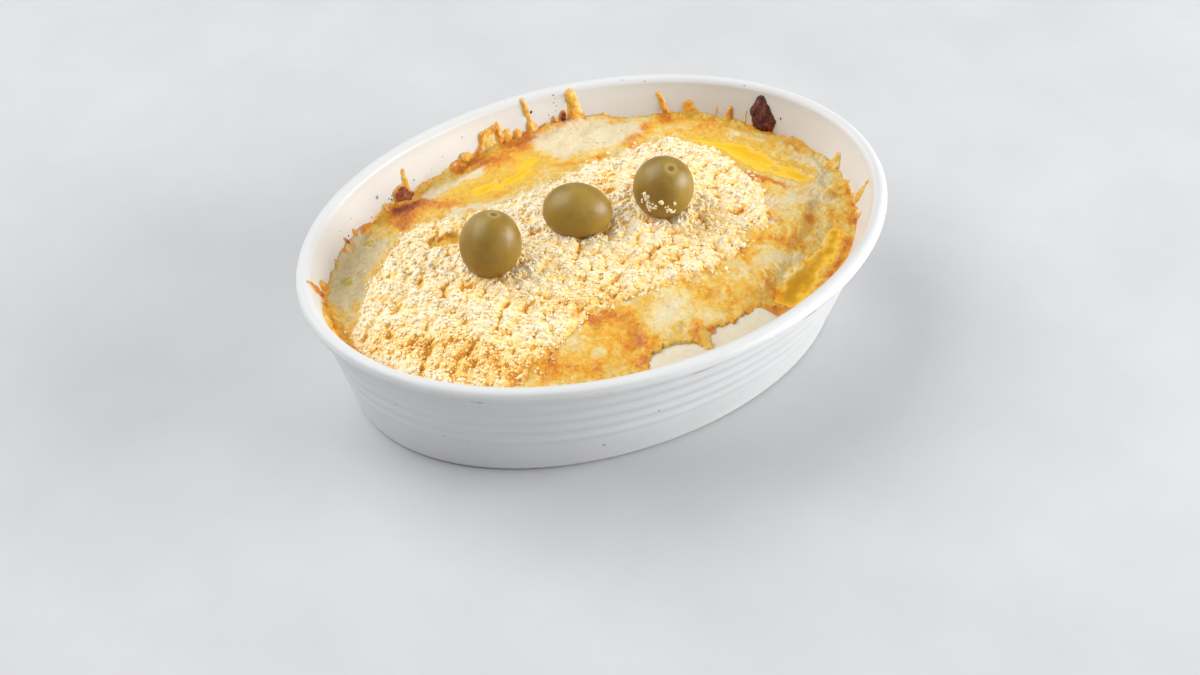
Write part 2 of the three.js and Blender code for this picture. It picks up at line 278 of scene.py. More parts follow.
def rib_swell(height):
    lowest = lowest_rib - rib_pitch / 2
    highest = lowest_rib + (rib_count - 0.5) * rib_pitch
    fade = eased(height, lowest - 2, lowest + 3) * (1 - eased(height, highest - 1, highest + 1.5))
    return fade * rib_depth / 2 * math.cos(2 * math.pi * (height - lowest_rib) / rib_pitch)


def dish_profile():
    points = [(radius, 0) for radius in (0, 30, 60, 78, foot_half_length - foot_bevel)]
    points += [(outer_half_length(0.5) - 0.35, 0.35), (outer_half_length(foot_bevel), foot_bevel)]
    under_lip = dish_height - 2 * lip_radius - 0.6
    rows = 54
    for row in range(1, rows + 1):
        height = mixed(foot_bevel, under_lip, row / rows)
        groove = groove_depth * math.exp(-(((height - under_lip) / groove_width) ** 2))
        points.append((outer_half_length(height) + rib_swell(height) - groove, height))
    lip_steps = 22
    for step in range(lip_steps + 1):
        turn = math.radians(mixed(-68, 178, step / lip_steps))
        radius = rim_half_length - lip_radius + lip_radius * math.cos(turn)
        points.append((radius, dish_height - lip_radius + lip_radius * math.sin(turn)))
    wall_rows = 16
    fillet_top = floor_thickness + 6
    for row in range(1, wall_rows + 1):
        height = mixed(inner_top[1], fillet_top, row / wall_rows)
        points.append((inner_half_length(height), height))
    points += [(inner_half_length(8) - 1.6, floor_thickness + 1.2), (floor_half_length, floor_thickness)]
    points += [(radius, floor_thickness) for radius in (60, 30, 0)]
    return points


def spun(points, steps, closed=False):
    bm = bmesh.new()
    verts = [bm.verts.new((radius, 0, height)) for radius, height in points]
    pairs = list(zip(verts, verts[1:]))
    if closed:
        pairs.append((verts[-1], verts[0]))
    edges = [bm.edges.new(pair) for pair in pairs]
    bmesh.ops.spin(
        bm, geom=verts + edges, cent=(0, 0, 0), axis=(0, 0, 1), angle=math.tau, steps=steps, use_merge=True,
    )
    bmesh.ops.remove_doubles(bm, verts=bm.verts, dist=1e-4)
    bmesh.ops.recalc_face_normals(bm, faces=bm.faces)
    return bm


def done_piece(bm, name, paint):
    bmesh.ops.scale(bm, vec=(MM, MM, MM), verts=bm.verts)
    mesh = bpy.data.meshes.new(name)
    bm.to_mesh(mesh)
    bm.free()
    mesh.materials.append(paint)
    mesh.shade_smooth()
    piece = bpy.data.objects.new(name, mesh)
    bpy.context.scene.collection.objects.link(piece)
    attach(piece, "root")
    return piece


round_steps = 224
bm = spun(dish_profile(), round_steps)
inside_mark = bm.verts.layers.float.new("inside")
for vert in bm.verts:
    radius = math.hypot(vert.co.x, vert.co.y)
    angle = math.atan2(vert.co.y, vert.co.x)
    height = vert.co.z
    middle = (outer_half_length(height) + inner_half_length(height)) / 2
    vert[inside_mark] = 1 if radius < middle and height > floor_thickness - 1 else 0
    if radius > middle:
        radius -= 0.7 * rib_swell(height) * eased(math.degrees(angle), -100, -55)
    vert.co = oval_point(radius, angle, height)
    sway = 0.16 * noise.noise(vert.co * 0.035) + 0.07 * noise.noise(vert.co * 0.11)
    if 2 < height < dish_height - 1:
        vert.co += Vector((math.cos(angle), math.sin(angle), 0)) * (sway - 0.1)

glaze = Paint("white_glaze", Coat_Roughness=0.3, IOR=1.45)
inside = glaze.attribute("inside")
height_up = glaze.axis("Z")
glaze_tone = glaze.mix(glaze.cloud(38, 3), (0.72, 0.725, 0.73), (0.63, 0.63, 0.625))
inner_tone = glaze.mix(glaze.cloud(22, 4), (0.74, 0.725, 0.71), (0.66, 0.635, 0.60))
below_lip = 1 - glaze.grade(height_up, dish_height - 4.5, dish_height - 1.5)
glaze_tone = glaze.mix(inside * below_lip, glaze_tone, inner_tone)
baked_film = inside * glaze.grade(glaze.cloud(9, 5, 0.7), 0.5, 0.75) * (1 - glaze.grade(height_up, 37, 43))
glaze_tone = glaze.mix(baked_film * 0.5, glaze_tone, (0.62, 0.42, 0.2))

# Dirt sits in places under the lip, and short brown stains lie along the lip at the front.
groove_dirt = glaze.grade(glaze.cloud(24, 7, 0.8), 0.5, 0.62) * (1 - inside)
groove_line = glaze.grade(height_up, 41, 41.6) * (1 - glaze.grade(height_up, 42.4, 43.2))
glaze_tone = glaze.mix(groove_line * groove_dirt * 0.7, glaze_tone, (0.26, 0.22, 0.17))
lip_stains = [
    # from and to along the front, and the heights below and above
    (-9, -2, 40.8, 41.7), (31, 37, 46, 47), (38, 47, 45.8, 46.6), (4, 10, 41.1, 41.6),
]
chipped = glaze.cloud(2.2, 4, 0.7) - 0.5
front_outside = (1 - glaze.grade(glaze.axis("Y"), -20, -10)) * (1 - inside)
for start, end, low, high in lip_stains:
    along = glaze.axis("X") + chipped * 5
    across = height_up + chipped * 0.9
    stain = glaze.grade(along, start - 1, start + 1) * (1 - glaze.grade(along, end - 1, end + 1))
    stain = stain * front_outside * glaze.grade(across, low - 0.3, low + 0.1)
    stain = stain * (1 - glaze.grade(across, high - 0.1, high + 0.3))
    glaze_tone = glaze.mix(stain * 0.75, glaze_tone, (0.24, 0.17, 0.11))

# A painted contact shadow darkens the outer wall just above the foot, and small iron specks of all sizes show
# through the glaze.
foot_contact_shadow = (1 - glaze.grade(height_up, 0.2, 1.4)) * (1 - inside)
glaze_tone = glaze.mix(foot_contact_shadow * 0.5, glaze_tone, (0.42, 0.40, 0.36))
for speck_gap, speck_size in ((11, 0.11), (6, 0.1)):
    draw = glaze.part(glaze.cells(speck_gap, "Color"), "Red")
    reach = speck_size * draw ** 4 + 0.0001
    speck = 1 - glaze.grade(glaze.cells(speck_gap) / reach, 0.55, 1)
    glaze_tone = glaze.mix(speck * 0.85, glaze_tone, (0.07, 0.055, 0.045))
glaze_skin = glaze.bump(glaze.cloud(7, 3), 0.12, glaze.bump(glaze.cloud(1.4, 2), 0.012))
glaze_gloss = mixed(0.4, 0.55, glaze.cloud(16, 4))
dish = done_piece(bm, "stoneware_dish", glaze.finish(
    Base_Color=glaze_tone, Roughness=glaze_gloss, Coat_Weight=glaze.grade(glaze.cloud(30, 3), 0.2, 0.6) * 0.3,
    Normal=glaze_skin,
))
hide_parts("dish")

# The lasagna: sheets of pasta, vegetables and sauce under a cover of melted cheese, which went pale,
# golden or burnt as the oven's heat reached it. The food stands against the dish's wall all round.
edge_height = 36
dome_rise = 5
nominal_length = inner_half_length(edge_height)
nominal_width = half_width_at(nominal_length)
cheese_swells = [
    # plan place, radius and rise
    (1, -45, 13, 2.4), (-36, -45, 13, 1.1), (27, -43, 9, 1.2), (47, -25, 12, 2.2), (62, -12, 10, 1.4),
    (82, 2, 8, 1.6), (74, 28, 9, 0.8), (44, 48, 9, 1.2), (20, 55, 13, 0.9), (-6, 62, 8, 1.2),
    (-46, 53, 8, 1), (-76, 33, 12, -1.2),
]
# Each pool: the bed is the hollow's middle line, with its radius and depth, and the level is the oil's.
# The stream is the open oil as lines with their half widths, ragged and streaked along its run. It
# stains the cheese as far as stain says, as strongly as soak says, and shade darkens its colour.
oil_pools = {
    "oil_pool_right": {
        "bed": [(36, -57), (47, -52), (58, -46.5), (67, -40), (76, -31)],
        "radius": 6.5, "depth": 5, "level": 35.3,
        "stream": [
            ([(41, -53.5), (46, -49.5), (52, -46.5)], 4.8),
            ([(52, -46.5), (60, -43), (67, -40)], 3.6),
            ([(67, -40), (74, -34)], 2.4),
        ],
        "ragged": 2.2, "streak": 5, "stain": 1, "soak": 0.35, "shade": 0.4,
        "outline": [
            (33, -60), (45, -58), (64, -48), (80, -34), (86, -22), (77, -20), (60, -33), (43, -44), (33, -51),
        ],
    },
    "oil_pool_back": {
        "bed": [(61, 36), (66, 28), (71, 19), (75, 10), (78, 1)],
        "radius": 6, "depth": 4, "level": 37.3,
        "stream": [
            ([(58, 33), (65, 27.5), (70.5, 20)], 2.8),
            ([(70.5, 20), (75, 8.5)], 4.6),
            ([(77, 4), (81, -5)], 3),
        ],
        "ragged": 3.4, "streak": 9, "stain": 5, "soak": 1, "shade": -0.1,
        "outline": [
            (55, 42), (66, 43), (76, 29), (84, 12), (87, -2), (80, -10), (73, -3), (67, 8), (66, 18),
            (61.5, 29),
        ],
    },
    "oil_pool_left": {
        "bed": [(-30, 44), (-18, 47), (-6, 49), (5, 51)],
        "radius": 5, "depth": 3.6, "level": 37.7,
        "stream": [([(-22, 46), (-15, 46.5)], 2), ([(-11, 47), (-4.5, 48), (3.8, 51.7)], 1.8)],
        "ragged": 2.8, "streak": 9, "stain": 8, "soak": 1, "shade": 0.04,
        "outline": [(-40, 40), (-28, 53), (-8, 58), (10, 59), (14, 50), (4, 42), (-14, 40), (-30, 36)],
    },
}


def near_points(x, y, places, radius):
    """1 at the nearest of the places, fading to 0 round it."""
    return np.max([np.exp(-((x - px) ** 2 + (y - py) ** 2) / radius ** 2) for px, py in places], axis=0)


def line_distance(x, y, corners):
    """How far each place is from the line through the corners."""
    if len(corners) == 1:
        return np.hypot(x - corners[0][0], y - corners[0][1])
    nearest = np.full(np.shape(x), np.inf)
    for (x0, y0), (x1, y1) in zip(corners, corners[1:]):
        run, rise = x1 - x0, y1 - y0
        share = np.clip(((x - x0) * run + (y - y0) * rise) / (run ** 2 + rise ** 2), 0, 1)
        nearest = np.minimum(nearest, np.hypot(x - x0 - share * run, y - y0 - share * rise))
    return nearest


def strokes(x, y, drawn):
    """The sum of soft strokes, each a line, a half width and a strength."""
    total = np.zeros(np.shape(x))
    for corners, radius, strength in drawn:
        total += strength * np.exp(-((line_distance(x, y, corners) / radius) ** 2))
    return total


def eased_all(values, low, high):
    share = np.clip((values - low) / (high - low), 0, 1)
    return share * share * (3 - 2 * share)


def folds(x, y, size, seed):
    """A soft random relief, about -1 to 1, with waves as long as size."""
    return np.array([noise.fractal(Vector((a, b, seed)), 0.9, 2.1, 4) for a, b in zip(x / size, y / size)])


def blisters(x, y, size, seed):
    """Small scattered bumps, from 0 to 1."""
    gaps = [noise.voronoi(Vector((a, b, seed)))[0][0] for a, b in zip(x / size, y / size)]
    return np.maximum(0, 1 - 2.2 * np.array(gaps))


def out_share(x, y):
    """0 in the middle of the food and 1 at the wall."""
    return np.hypot(x / nominal_length, y / nominal_width)


def plan_degrees(x, y):
    return np.degrees(np.arctan2(y / nominal_width, x / nominal_length))


def cover_height(x, y):
    """The food's even cover: a low dome with swells, and hollows for the oil."""
    out = np.minimum(1, out_share(x, y))
    angle = np.radians(plan_degrees(x, y))
    edge = 1.1 * np.sin(2 * angle + 0.3) + 0.7 * np.sin(5 * angle + 1.1) + 0.4 * np.sin(9 * angle)
    waves = 0.2 * np.sin(0.37 * x + 0.9) * np.cos(0.33 * y) + 0.14 * np.sin(0.71 * x - 0.52 * y + 2)
    height = edge_height + dome_rise * (1 - out ** 2.4) + edge * out ** 6 + waves
    for px, py, reach, rise in cheese_swells:
        height = height + rise * near_points(x, y, [(px, py)], reach)
    for pool in oil_pools.values():
        height = height - pool["depth"] * strokes(x, y, [(pool["bed"], pool["radius"], 1)])
    return height


# The white sauce shows between the crust and the front wall, on both sides of a tongue of crust.
sauce_from, sauce_to = -103, -70
sauce_height, sauce_rise, sauce_depth = 35.4, 2.3, 12.5
sauce_edge = [
    # plan angle in degrees and how far from the wall the crust's edge is there
    (-102, 0), (-101.2, 8), (-99.5, 11), (-97.5, 12.2), (-92.5, 11.4), (-89.5, 9.4), (-88.6, 1),
    (-85.6, 1), (-85, 9), (-82.4, 11.4), (-79, 10.2), (-74, 10.6), (-71.5, 6), (-70, 0),
]


def sauce_share(x, y):
    """1 where the white sauce shows and the crust has drawn back, 0 elsewhere."""
    depth = nominal_width * (1 - out_share(x, y))
    edge = np.interp(plan_degrees(x, y), *zip(*sauce_edge))
    beside_sauce = eased_all(edge, 0, 0.6)
    return beside_sauce * (1 - eased_all(depth + 1.3 * folds(x, y, 2.6, 7), edge - 0.4, edge + 0.4))


# Where the oven browned the cheese: the line of each patch in plan, its half width and how far it went.
browned_strokes = [
    ([(-49, 52), (-42, 53)], 4.2, 0.5), ([(-53, 46), (-47, 47), (-43, 46)], 4.2, 0.3),
    ([(-53, 42)], 3.4, 0.26), ([(-59, 53), (-70, 45), (-80, 36)], 1.7, 0.24),
    ([(-40, 51), (-37, 46), (-33, 42), (-29, 36)], 2.2, 0.14), ([(-27, 33), (-24, 32)], 1.8, 0.4),
    ([(-20, 41), (-14, 41)], 2.4, 0.14), ([(10, 66), (4, 60), (-2, 60), (-10, 60)], 4.4, 0.26),
    ([(-13, 64), (-7, 57)], 3.4, 0.22), ([(4, 66), (12, 66)], 3.4, 0.22),
    ([(9, 44), (16, 41), (23, 39)], 1.9, 0.22), ([(-49, 27), (-42, 25)], 3.4, 0.16),
    ([(36, 42), (45, 47), (56, 50)], 3, 0.24), ([(24, 65), (29, 64)], 2, 0.2),
    ([(60, 43), (76, 34)], 5, 0.1), ([(84, 18), (90, 11)], 2.8, 0.14), ([(93, -5)], 1.4, 0.3),
    ([(64.3, 4.6), (66.5, 0.5)], 2.4, 0.6), ([(68.5, -2.5), (72, -5.5)], 1.6, 0.5),
    ([(52.7, -17), (55.5, -20.5)], 2, 0.36), ([(46, -28.6), (54.7, -31.6), (58, -31.5)], 2.5, 0.2),
    ([(58.6, -30), (64.4, -25.5), (69.7, -24.1), (68.5, -27.5)], 1.8, 0.18),
    ([(69.7, -24.1), (67, -29.5), (57, -35.4)], 1, 0.12),
    ([(80.2, -20.9), (77.8, -27.1), (73.9, -34.1)], 2.2, 0.14),
    ([(93, -18), (83, -34), (71, -45), (54, -55)], 2.4, 0.18), ([(37, -29), (36, -37)], 1.4, 0.2),
    ([(37.9, -45.8), (38.8, -49.7)], 2.6, 0.26), ([(25, -52), (30, -56), (38, -55)], 4.6, 0.26),
    ([(30, -57), (37, -57)], 1.6, 0.2), ([(14, -29), (16, -40), (23, -44)], 2.6, 0.14),
    ([(-24, -33), (-17, -37), (-12, -41), (-14, -48)], 3.4, 0.34), ([(-16, -35.5)], 1.4, 0.44),
    ([(-19, -49)], 3, 0.22), ([(-26, -45), (-22, -56)], 6, 0.12),
    ([(-19, -61), (-16, -55), (-11, -52)], 2.1, 0.26), ([(5, -54), (1, -58), (3, -61)], 2.3, 0.26),
    ([(9, -56), (16, -56), (21, -56)], 1.9, 0.3), ([(-44, -49), (-34, -52)], 4.6, 0.2),
    ([(-30, 46), (-14, 46), (2, 52)], 5, 0.16), ([(-40, -33)], 1.2, 0.22),
    ([(-20, 63), (-12, 62)], 3, 0.2), ([(1, 66), (6, 64)], 3, 0.16),
    ([(-42, -39), (-44, -45)], 2.2, 0.12), ([(-53, -41), (-47, -45)], 4, 0.14),
    ([(-71, -27), (-65, -36)], 5, 0.14),
    ([(-94, 12), (-96.5, 0), (-94, -16), (-88, -28), (-78, -40)], 2.6, 0.26), ([(-1, -43)], 10, -0.12),
    ([(-28, -48)], 2, -0.16), ([(-34, -42)], 2.6, -0.14), ([(92, 2), (91, -10), (82, -12)], 5, -0.16),
    ([(-29, -32), (-37, -29)], 5, -0.1),
]
oily_strokes = [
    ([(-31, 49), (-20, 49), (-12, 48), (-6, 43)], 3.8, 1), ([(-33, 42), (-24, 42)], 3, 0.6),
    ([(59, 32), (70, 22), (75, 10), (81, -3)], 5.6, 1), ([(82, -20), (76, -32), (67, -41)], 3, 0.4),
    ([(67, -42), (58, -47), (48, -52), (38, -57)], 4, 0.6), ([(-65.9, 42.3)], 2, 2),
    ([(-80.4, 28)], 2.2, 2), ([(25, 51)], 1.6, 1), ([(-53, -41), (-47, -45)], 4, 0.35),
    ([(-26, -45), (-22, -56)], 5, 0.4), ([(14, -29), (16, -40), (23, -44)], 3, 0.4),
    ([(5, -50), (12, -50)], 5, 0.25), ([(-6, -50), (0, -50)], 4, 0.25),
]
pale_strokes = [
    ([(-67, 41), (-76, 33), (-85, 20)], 7.5, 1), ([(-36, 55), (-28, 55.5), (-16, 57)], 3.4, 0.9),
    ([(16, 58), (26, 57), (38, 52)], 8.4, 1.2), ([(16, 50), (27, 49)], 5, 0.6), ([(-31, -31)], 5, 0.3),
    ([(-36, 39.5), (-28, 39), (-20, 35), (-10, 35), (-3, 33.5)], 2.8, 0.7),
    ([(56, 45), (62, 40)], 3.4, 0.4), ([(56, -11), (64, -15), (73, -15), (80, -17)], 5.4, 0.62),
    ([(49, -22), (56, -23)], 3, 0.6), ([(48, -36), (56, -37)], 3.4, 0.55),
    ([(33, -38), (42, -38)], 3.4, 0.5), ([(-2, -44), (4, -42)], 8, 0.5),
    ([(74, -4), (84, -8), (90, -6), (86, 6)], 5, 0.55), ([(72, -26), (76, -24)], 3, 0.3),
]


def browning(x, y):
    """How far the oven browned the cheese, from 0 for white to 1 for black."""
    shifted_x = x + 1.8 * folds(x, y, 6, 3.3)
    shifted_y = y + 1.8 * folds(x, y, 6, 9.1)
    brown = 0.3 + strokes(shifted_x, shifted_y, browned_strokes)
    brown += eased_all(out_share(x, y), 0.915, 0.985) * (0.12 + 0.1 * folds(x, y, 9, 14.4))
    darkest = 0.68 + 0.22 * strokes(x, y, [([(-49, 54.5), (-43, 55.6)], 4.5, 1)])
    return np.clip(brown + 0.12 * folds(x, y, 6, 4.4) + 0.08 * folds(x, y, 2.4, 6.4), 0, darkest)


def paleness(x, y):
    shifted_x = x + 2.6 * folds(x, y, 6, 18.2)
    shifted_y = y + 2.6 * folds(x, y, 6, 22.7)
    return np.clip(strokes(shifted_x, shifted_y, pale_strokes), 0, 1)


def smooth_outline(corners, steps_a_side=8):
    """A closed curve that runs smoothly through the corners."""
    points = []
    for i, corner in enumerate(corners):
        before, after, beyond = (corners[(i + step) % len(corners)] for step in (-1, 1, 2))
        for step in range(steps_a_side):
            t = step / steps_a_side
            points.append(tuple(
                0.5 * (2 * b + (c - a) * t + (2 * a - 5 * b + 4 * c - d) * t ** 2
                       + (3 * b - a - 3 * c + d) * t ** 3)
                for a, b, c, d in zip(before, corner, after, beyond)
            ))
    return np.array(points)


def depth_inside(outline, x, y):
    """How far each place is inside the outline, negative outside it."""
    nearest = np.full(np.shape(x), np.inf)
    crossings = np.zeros(np.shape(x), int)
    for (x0, y0), (x1, y1) in zip(outline, np.roll(outline, -1, axis=0)):
        nearest = np.minimum(nearest, line_distance(x, y, [(x0, y0), (x1, y1)]))
        if y0 != y1:
            crossing_x = x0 + (y - y0) * (x1 - x0) / (y1 - y0)
            crossings += ((y0 > y) != (y1 > y)) & (x < crossing_x)
    return np.where(crossings % 2 == 1, nearest, -nearest)


def wetness(pool, x, y):
    """How far inside the oil's ragged edge each place is, negative on the bank."""
    (start_x, start_y), (end_x, end_y) = pool["stream"][0][0][0], pool["stream"][-1][0][-1]
    turn = math.atan2(end_y - start_y, end_x - start_x)
    along = (x * math.cos(turn) + y * math.sin(turn)) / pool["streak"]
    across = (y * math.cos(turn) - x * math.sin(turn)) / 3
    streaks = np.array([
        noise.fractal(Vector((a, b, pool["level"])), 0.9, 2.1, 3) for a, b in zip(along, across)
    ])
    ragged = pool["ragged"] * streaks
    stream = np.max([reach - line_distance(x, y, run) for run, reach in pool["stream"]], axis=0) + ragged
    return np.minimum(stream, depth_inside(smooth_outline(pool["outline"]), x, y) - 1.3 + ragged / 3)


def oiliness(x, y):
    shifted_x = x + 1.8 * folds(x, y, 5, 12.2)
    shifted_y = y + 1.8 * folds(x, y, 5, 15.7)
    stain = np.max([
        pool["soak"] * eased_all(wetness(pool, x, y), -pool["stain"], 0.4) for pool in oil_pools.values()
    ], axis=0)
    return np.clip(0.8 * strokes(shifted_x, shifted_y, oily_strokes) + stain, 0, 1)


# How high the cheese stands against the wall all round.
crust_crest = [
    # plan angle in degrees and the crest's height there
    (-180, 37.3), (-150, 37), (-120, 37.6), (-90, 36.8), (-60, 37.3), (-45, 36.6), (-35, 35.4),
    (-25, 35.5), (-16, 35), (-8, 35.5), (0, 35.8), (8, 35.2), (14, 36), (20, 34.8), (30, 36.3),
    (40, 37), (50, 36.8), (60, 36.2), (70, 38.6), (79, 38.8), (88, 37.5), (97, 36), (105, 35.4),
    (112, 34.6), (121, 35.8), (129, 35.2), (134, 37), (150, 36.8), (156, 37), (167, 38), (180, 37.3),
]

# Ridges and furrows where the melted sheets slid over each other.
ridge_strokes = [
    ([(66, -20), (66, -33), (57, -40)], 3.4, 1.7), ([(76, -24), (71, -37)], 2.6, -1.3),
    ([(57, -27), (50, -36)], 2.4, -0.9), ([(80, -6), (84, -17), (78, -27)], 3, 1.3),
    ([(44, -23), (52, -27), (60, -25)], 2.6, 1.1), ([(32, -40), (45, -42)], 2.6, 0.9),
    ([(-12, -36), (-21, -40), (-31, -46)], 2.8, 0.9), ([(-14, -44), (-20, -52), (-30, -56)], 2, -0.8),
    ([(12, -34), (15, -46)], 2, -0.8), ([(20, -44), (30, -50)], 2.6, 0.9),
    ([(-44, -40), (-40, -50)], 2.4, -0.7), ([(30, 56), (44, 52), (56, 44)], 3, 0.8),
    ([(-24, 60), (-8, 63), (8, 63)], 2.4, 0.7), ([(84, 12), (88, 0)], 2.4, 0.8),
    ([(4.5, -52), (3.4, -62)], 2, 1.6),
]


def banked(height, x, y):
    """The cheese dips under each pool's level along its stream and stands over it on both sides."""
    for pool in oil_pools.values():
        under = wetness(pool, x, y)
        dip = 1.3 * (1 - np.exp(-np.maximum(under, 0) / 1.8)) + 0.25 * np.maximum(np.minimum(under, 0), -4)
        inside = depth_inside(smooth_outline(pool["outline"]), x, y)
        rough = 0.35 * folds(x, y, 1.9, 36.2) * np.clip(-under / 1.5, 0, 1)
        height = mixed(height, pool["level"] - dip + rough, eased_all(inside, -3.5, 0.5))
    return height


climb_start = 0.93
under_sauce = 32.5


def top_height(x, y, crusty=None):
    """The cheese's own height: it climbs to its crest at the wall, and lies low under the sauce."""
    if crusty is None:
        crusty = eased_all(browning(x, y), 0.35, 0.75)
    height = cover_height(x, y) + 0.8 * folds(x, y, 12, 1.7) + 0.5 * folds(x, y, 4.6, 5.1)
    height += strokes(x + 1.5 * folds(x, y, 8, 2.9), y + 1.5 * folds(x, y, 8, 5.9), ridge_strokes)
    fibres = folds(0.26 * (x + 0.5 * y), y - 0.5 * x, 1.5, 44.1)
    height += 0.7 * fibres * strokes(x, y, [([(56, -10), (64, -18), (60, -32)], 9, 1)])
    height += crusty * (0.9 * blisters(x, y, 3.4, 2.2) + 0.45 * folds(x, y, 1.8, 8.8))
    height += 0.4 * folds(x, y, 1.9, 3.8)
    near_wall = np.clip((out_share(x, y) - climb_start) / (1 - climb_start), 0, 1)
    crest = np.interp(plan_degrees(x, y), *zip(*crust_crest)) + 0.9 * folds(x, y, 3.2, 6.3) + 0.6
    height = mixed(height - 0.3 * np.sin(np.pi * near_wall), crest, near_wall ** 2)
    return mixed(banked(height, x, y), np.minimum(height, under_sauce), sauce_share(x, y))


def places_of(bm):
    return np.array([vert.co for vert in bm.verts])


def wall_places(degrees, heights, depths):
    """Places inward of the dish's inner wall, all at once."""
    lip_rise = np.clip(heights - inner_top[1], 0, lip_radius)
    length = inner_half_length(np.minimum(heights, inner_top[1])) - depths
    length += lip_radius - np.sqrt(lip_radius ** 2 - lip_rise ** 2)
    width = foot_half_width + (length - foot_half_length) * width_per_length
    angle = np.radians(degrees)
    return np.column_stack([length * np.cos(angle), width * np.sin(angle), heights + 0 * angle])


def set_marks(bm, **marks):
    """Stores named values on the vertices for the material to read."""
    for name, values in marks.items():
        layer = bm.verts.layers.float.new(name)
        for vert, value in zip(bm.verts, values):
            vert[layer] = value


cells_long, cells_wide = 330, 240
skirt_foot = 12
bm = bmesh.new()
bmesh.ops.create_grid(bm, x_segments=cells_long, y_segments=cells_wide, size=1)
square = places_of(bm)
x = square[:, 0] * np.sqrt(1 - square[:, 1] ** 2 / 2) * nominal_length
y = square[:, 1] * np.sqrt(1 - square[:, 0] ** 2 / 2) * nominal_width
brown = browning(x, y)
height = top_height(x, y, eased_all(brown, 0.35, 0.75))
at_wall = wall_places(plan_degrees(x, y), height, 0 * x - 0.2)
set_marks(bm, browned=brown, oily=oiliness(x, y), pale=paleness(x, y))
for vert, place, wall_place in zip(bm.verts, np.column_stack([x, y, height]), at_wall):
    vert.co = wall_place if vert.is_boundary else place
rim_edges = [edge for edge in bm.edges if edge.is_boundary]
skirt = bmesh.ops.extrude_edge_only(bm, edges=rim_edges)["geom"]
for vert in (item for item in skirt if isinstance(item, bmesh.types.BMVert)):
    vert.co = wall_point(plan_degrees(vert.co.x, vert.co.y), skirt_foot, 0.1)
bmesh.ops.holes_fill(bm, edges=[edge for edge in bm.edges if edge.is_boundary], sides=0)
bmesh.ops.recalc_face_normals(bm, faces=bm.faces)

cheese_stops = [
    (0.0, (0.90, 0.78, 0.50)), (0.2, (0.90, 0.69, 0.27)), (0.38, (0.91, 0.54, 0.055)),
    (0.54, (0.88, 0.37, 0.011)), (0.7, (0.70, 0.20, 0.01)), (0.82, (0.34, 0.065, 0.012)),
    (0.92, (0.11, 0.018, 0.01)), (1.0, (0.035, 0.006, 0.005)),
]


def cheese_tone(paint):
    """The colour of the baked cheese with its pale and oily patches, and how oily it is."""
    browned = paint.attribute("browned")
    mottle = (paint.cloud(6, 4, 0.6, 0.8) - 0.5) * 0.7 + (paint.cloud(2.6, 5, 0.6, 1.2) - 0.5) * 0.8
    mottle = mottle + (paint.cloud(0.6, 3, 0.6) - 0.5) * 0.3
    tone = paint.ramp(browned + mottle * (1 - 0.75 * paint.grade(browned, 0.48, 0.75)), cheese_stops)
    pale = paint.grade(paint.attribute("pale") + (paint.cloud(4, 4) - 0.5) * 0.6, 0.25, 0.75)
    at_left = 1 - paint.grade(paint.axis("X"), -66, -46)
    sauce_tone = paint.mix(paint.cloud(5, 5, 0.65), (0.86, 0.73, 0.45), (0.94, 0.84, 0.62))
    left_tone = paint.mix(paint.cloud(4, 5, 0.65), (0.62, 0.51, 0.26), (0.82, 0.71, 0.46))
    sauce_tone = paint.mix(at_left, sauce_tone, left_tone)
    # Small pits in the sauce are painted dark: painted shade standing in for their hollows.
    pit_shade = 1 - paint.grade(paint.cells(6), 0.04, 0.16)
    sauce_tone = paint.mix(pit_shade * 0.7, sauce_tone, (0.42, 0.36, 0.12))
    tone = paint.mix(pale * 0.85, tone, sauce_tone)
    oil_patch = paint.grade(paint.attribute("oily") + (paint.cloud(3, 5, 0.65, 1) - 0.5) * 0.8, 0.35, 0.85)
    oil_stain = paint.mix(pale * at_left, (0.94, 0.56, 0.035), (0.62, 0.45, 0.015))
    return paint.mix(oil_patch * 0.85, tone, oil_stain), oil_patch


def cheese_paint(name, thin_edges=False):
    paint = Paint(name, Subsurface_Weight=0.1, Subsurface_Scale=0.002, Coat_Roughness=0.16, IOR=1.45)
    paint.shader.inputs["Subsurface Radius"].default_value = (1, 0.7, 0.4)
    tone, oil_patch = cheese_tone(paint)
    relief = paint.bump(paint.cloud(2.4, 5, 0.65, 0.6), 0.8, paint.bump(paint.cloud(0.8, 4, 0.65), 0.7))
    gloss = mixed(0.36, 0.18, oil_patch) + (paint.cloud(1.2, 3) - 0.5) * 0.4
    if thin_edges:
        cover = paint.attribute("cover") + (paint.cloud(0.8, 3) - 0.5) * 0.6
        film = 1 - paint.grade(cover, 0.1, 0.9)
        film = film * (1 - paint.grade(paint.attribute("browned"), 0.55, 0.75))
        tone = paint.mix(film * 0.4, tone, (0.88, 0.66, 0.34))
        paint.finish(Alpha=paint.grade(cover, -0.3, 0.15))
    coat = (oil_patch * 0.4 + 0.3) * (1 - 0.8 * paint.grade(paint.attribute("browned"), 0.65, 0.85))
    return paint.finish(Base_Color=tone, Roughness=gloss, Coat_Weight=coat, Normal=relief)


lasagna = done_piece(bm, "baked_lasagna", cheese_paint("baked_cheese"))
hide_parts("lasagna")

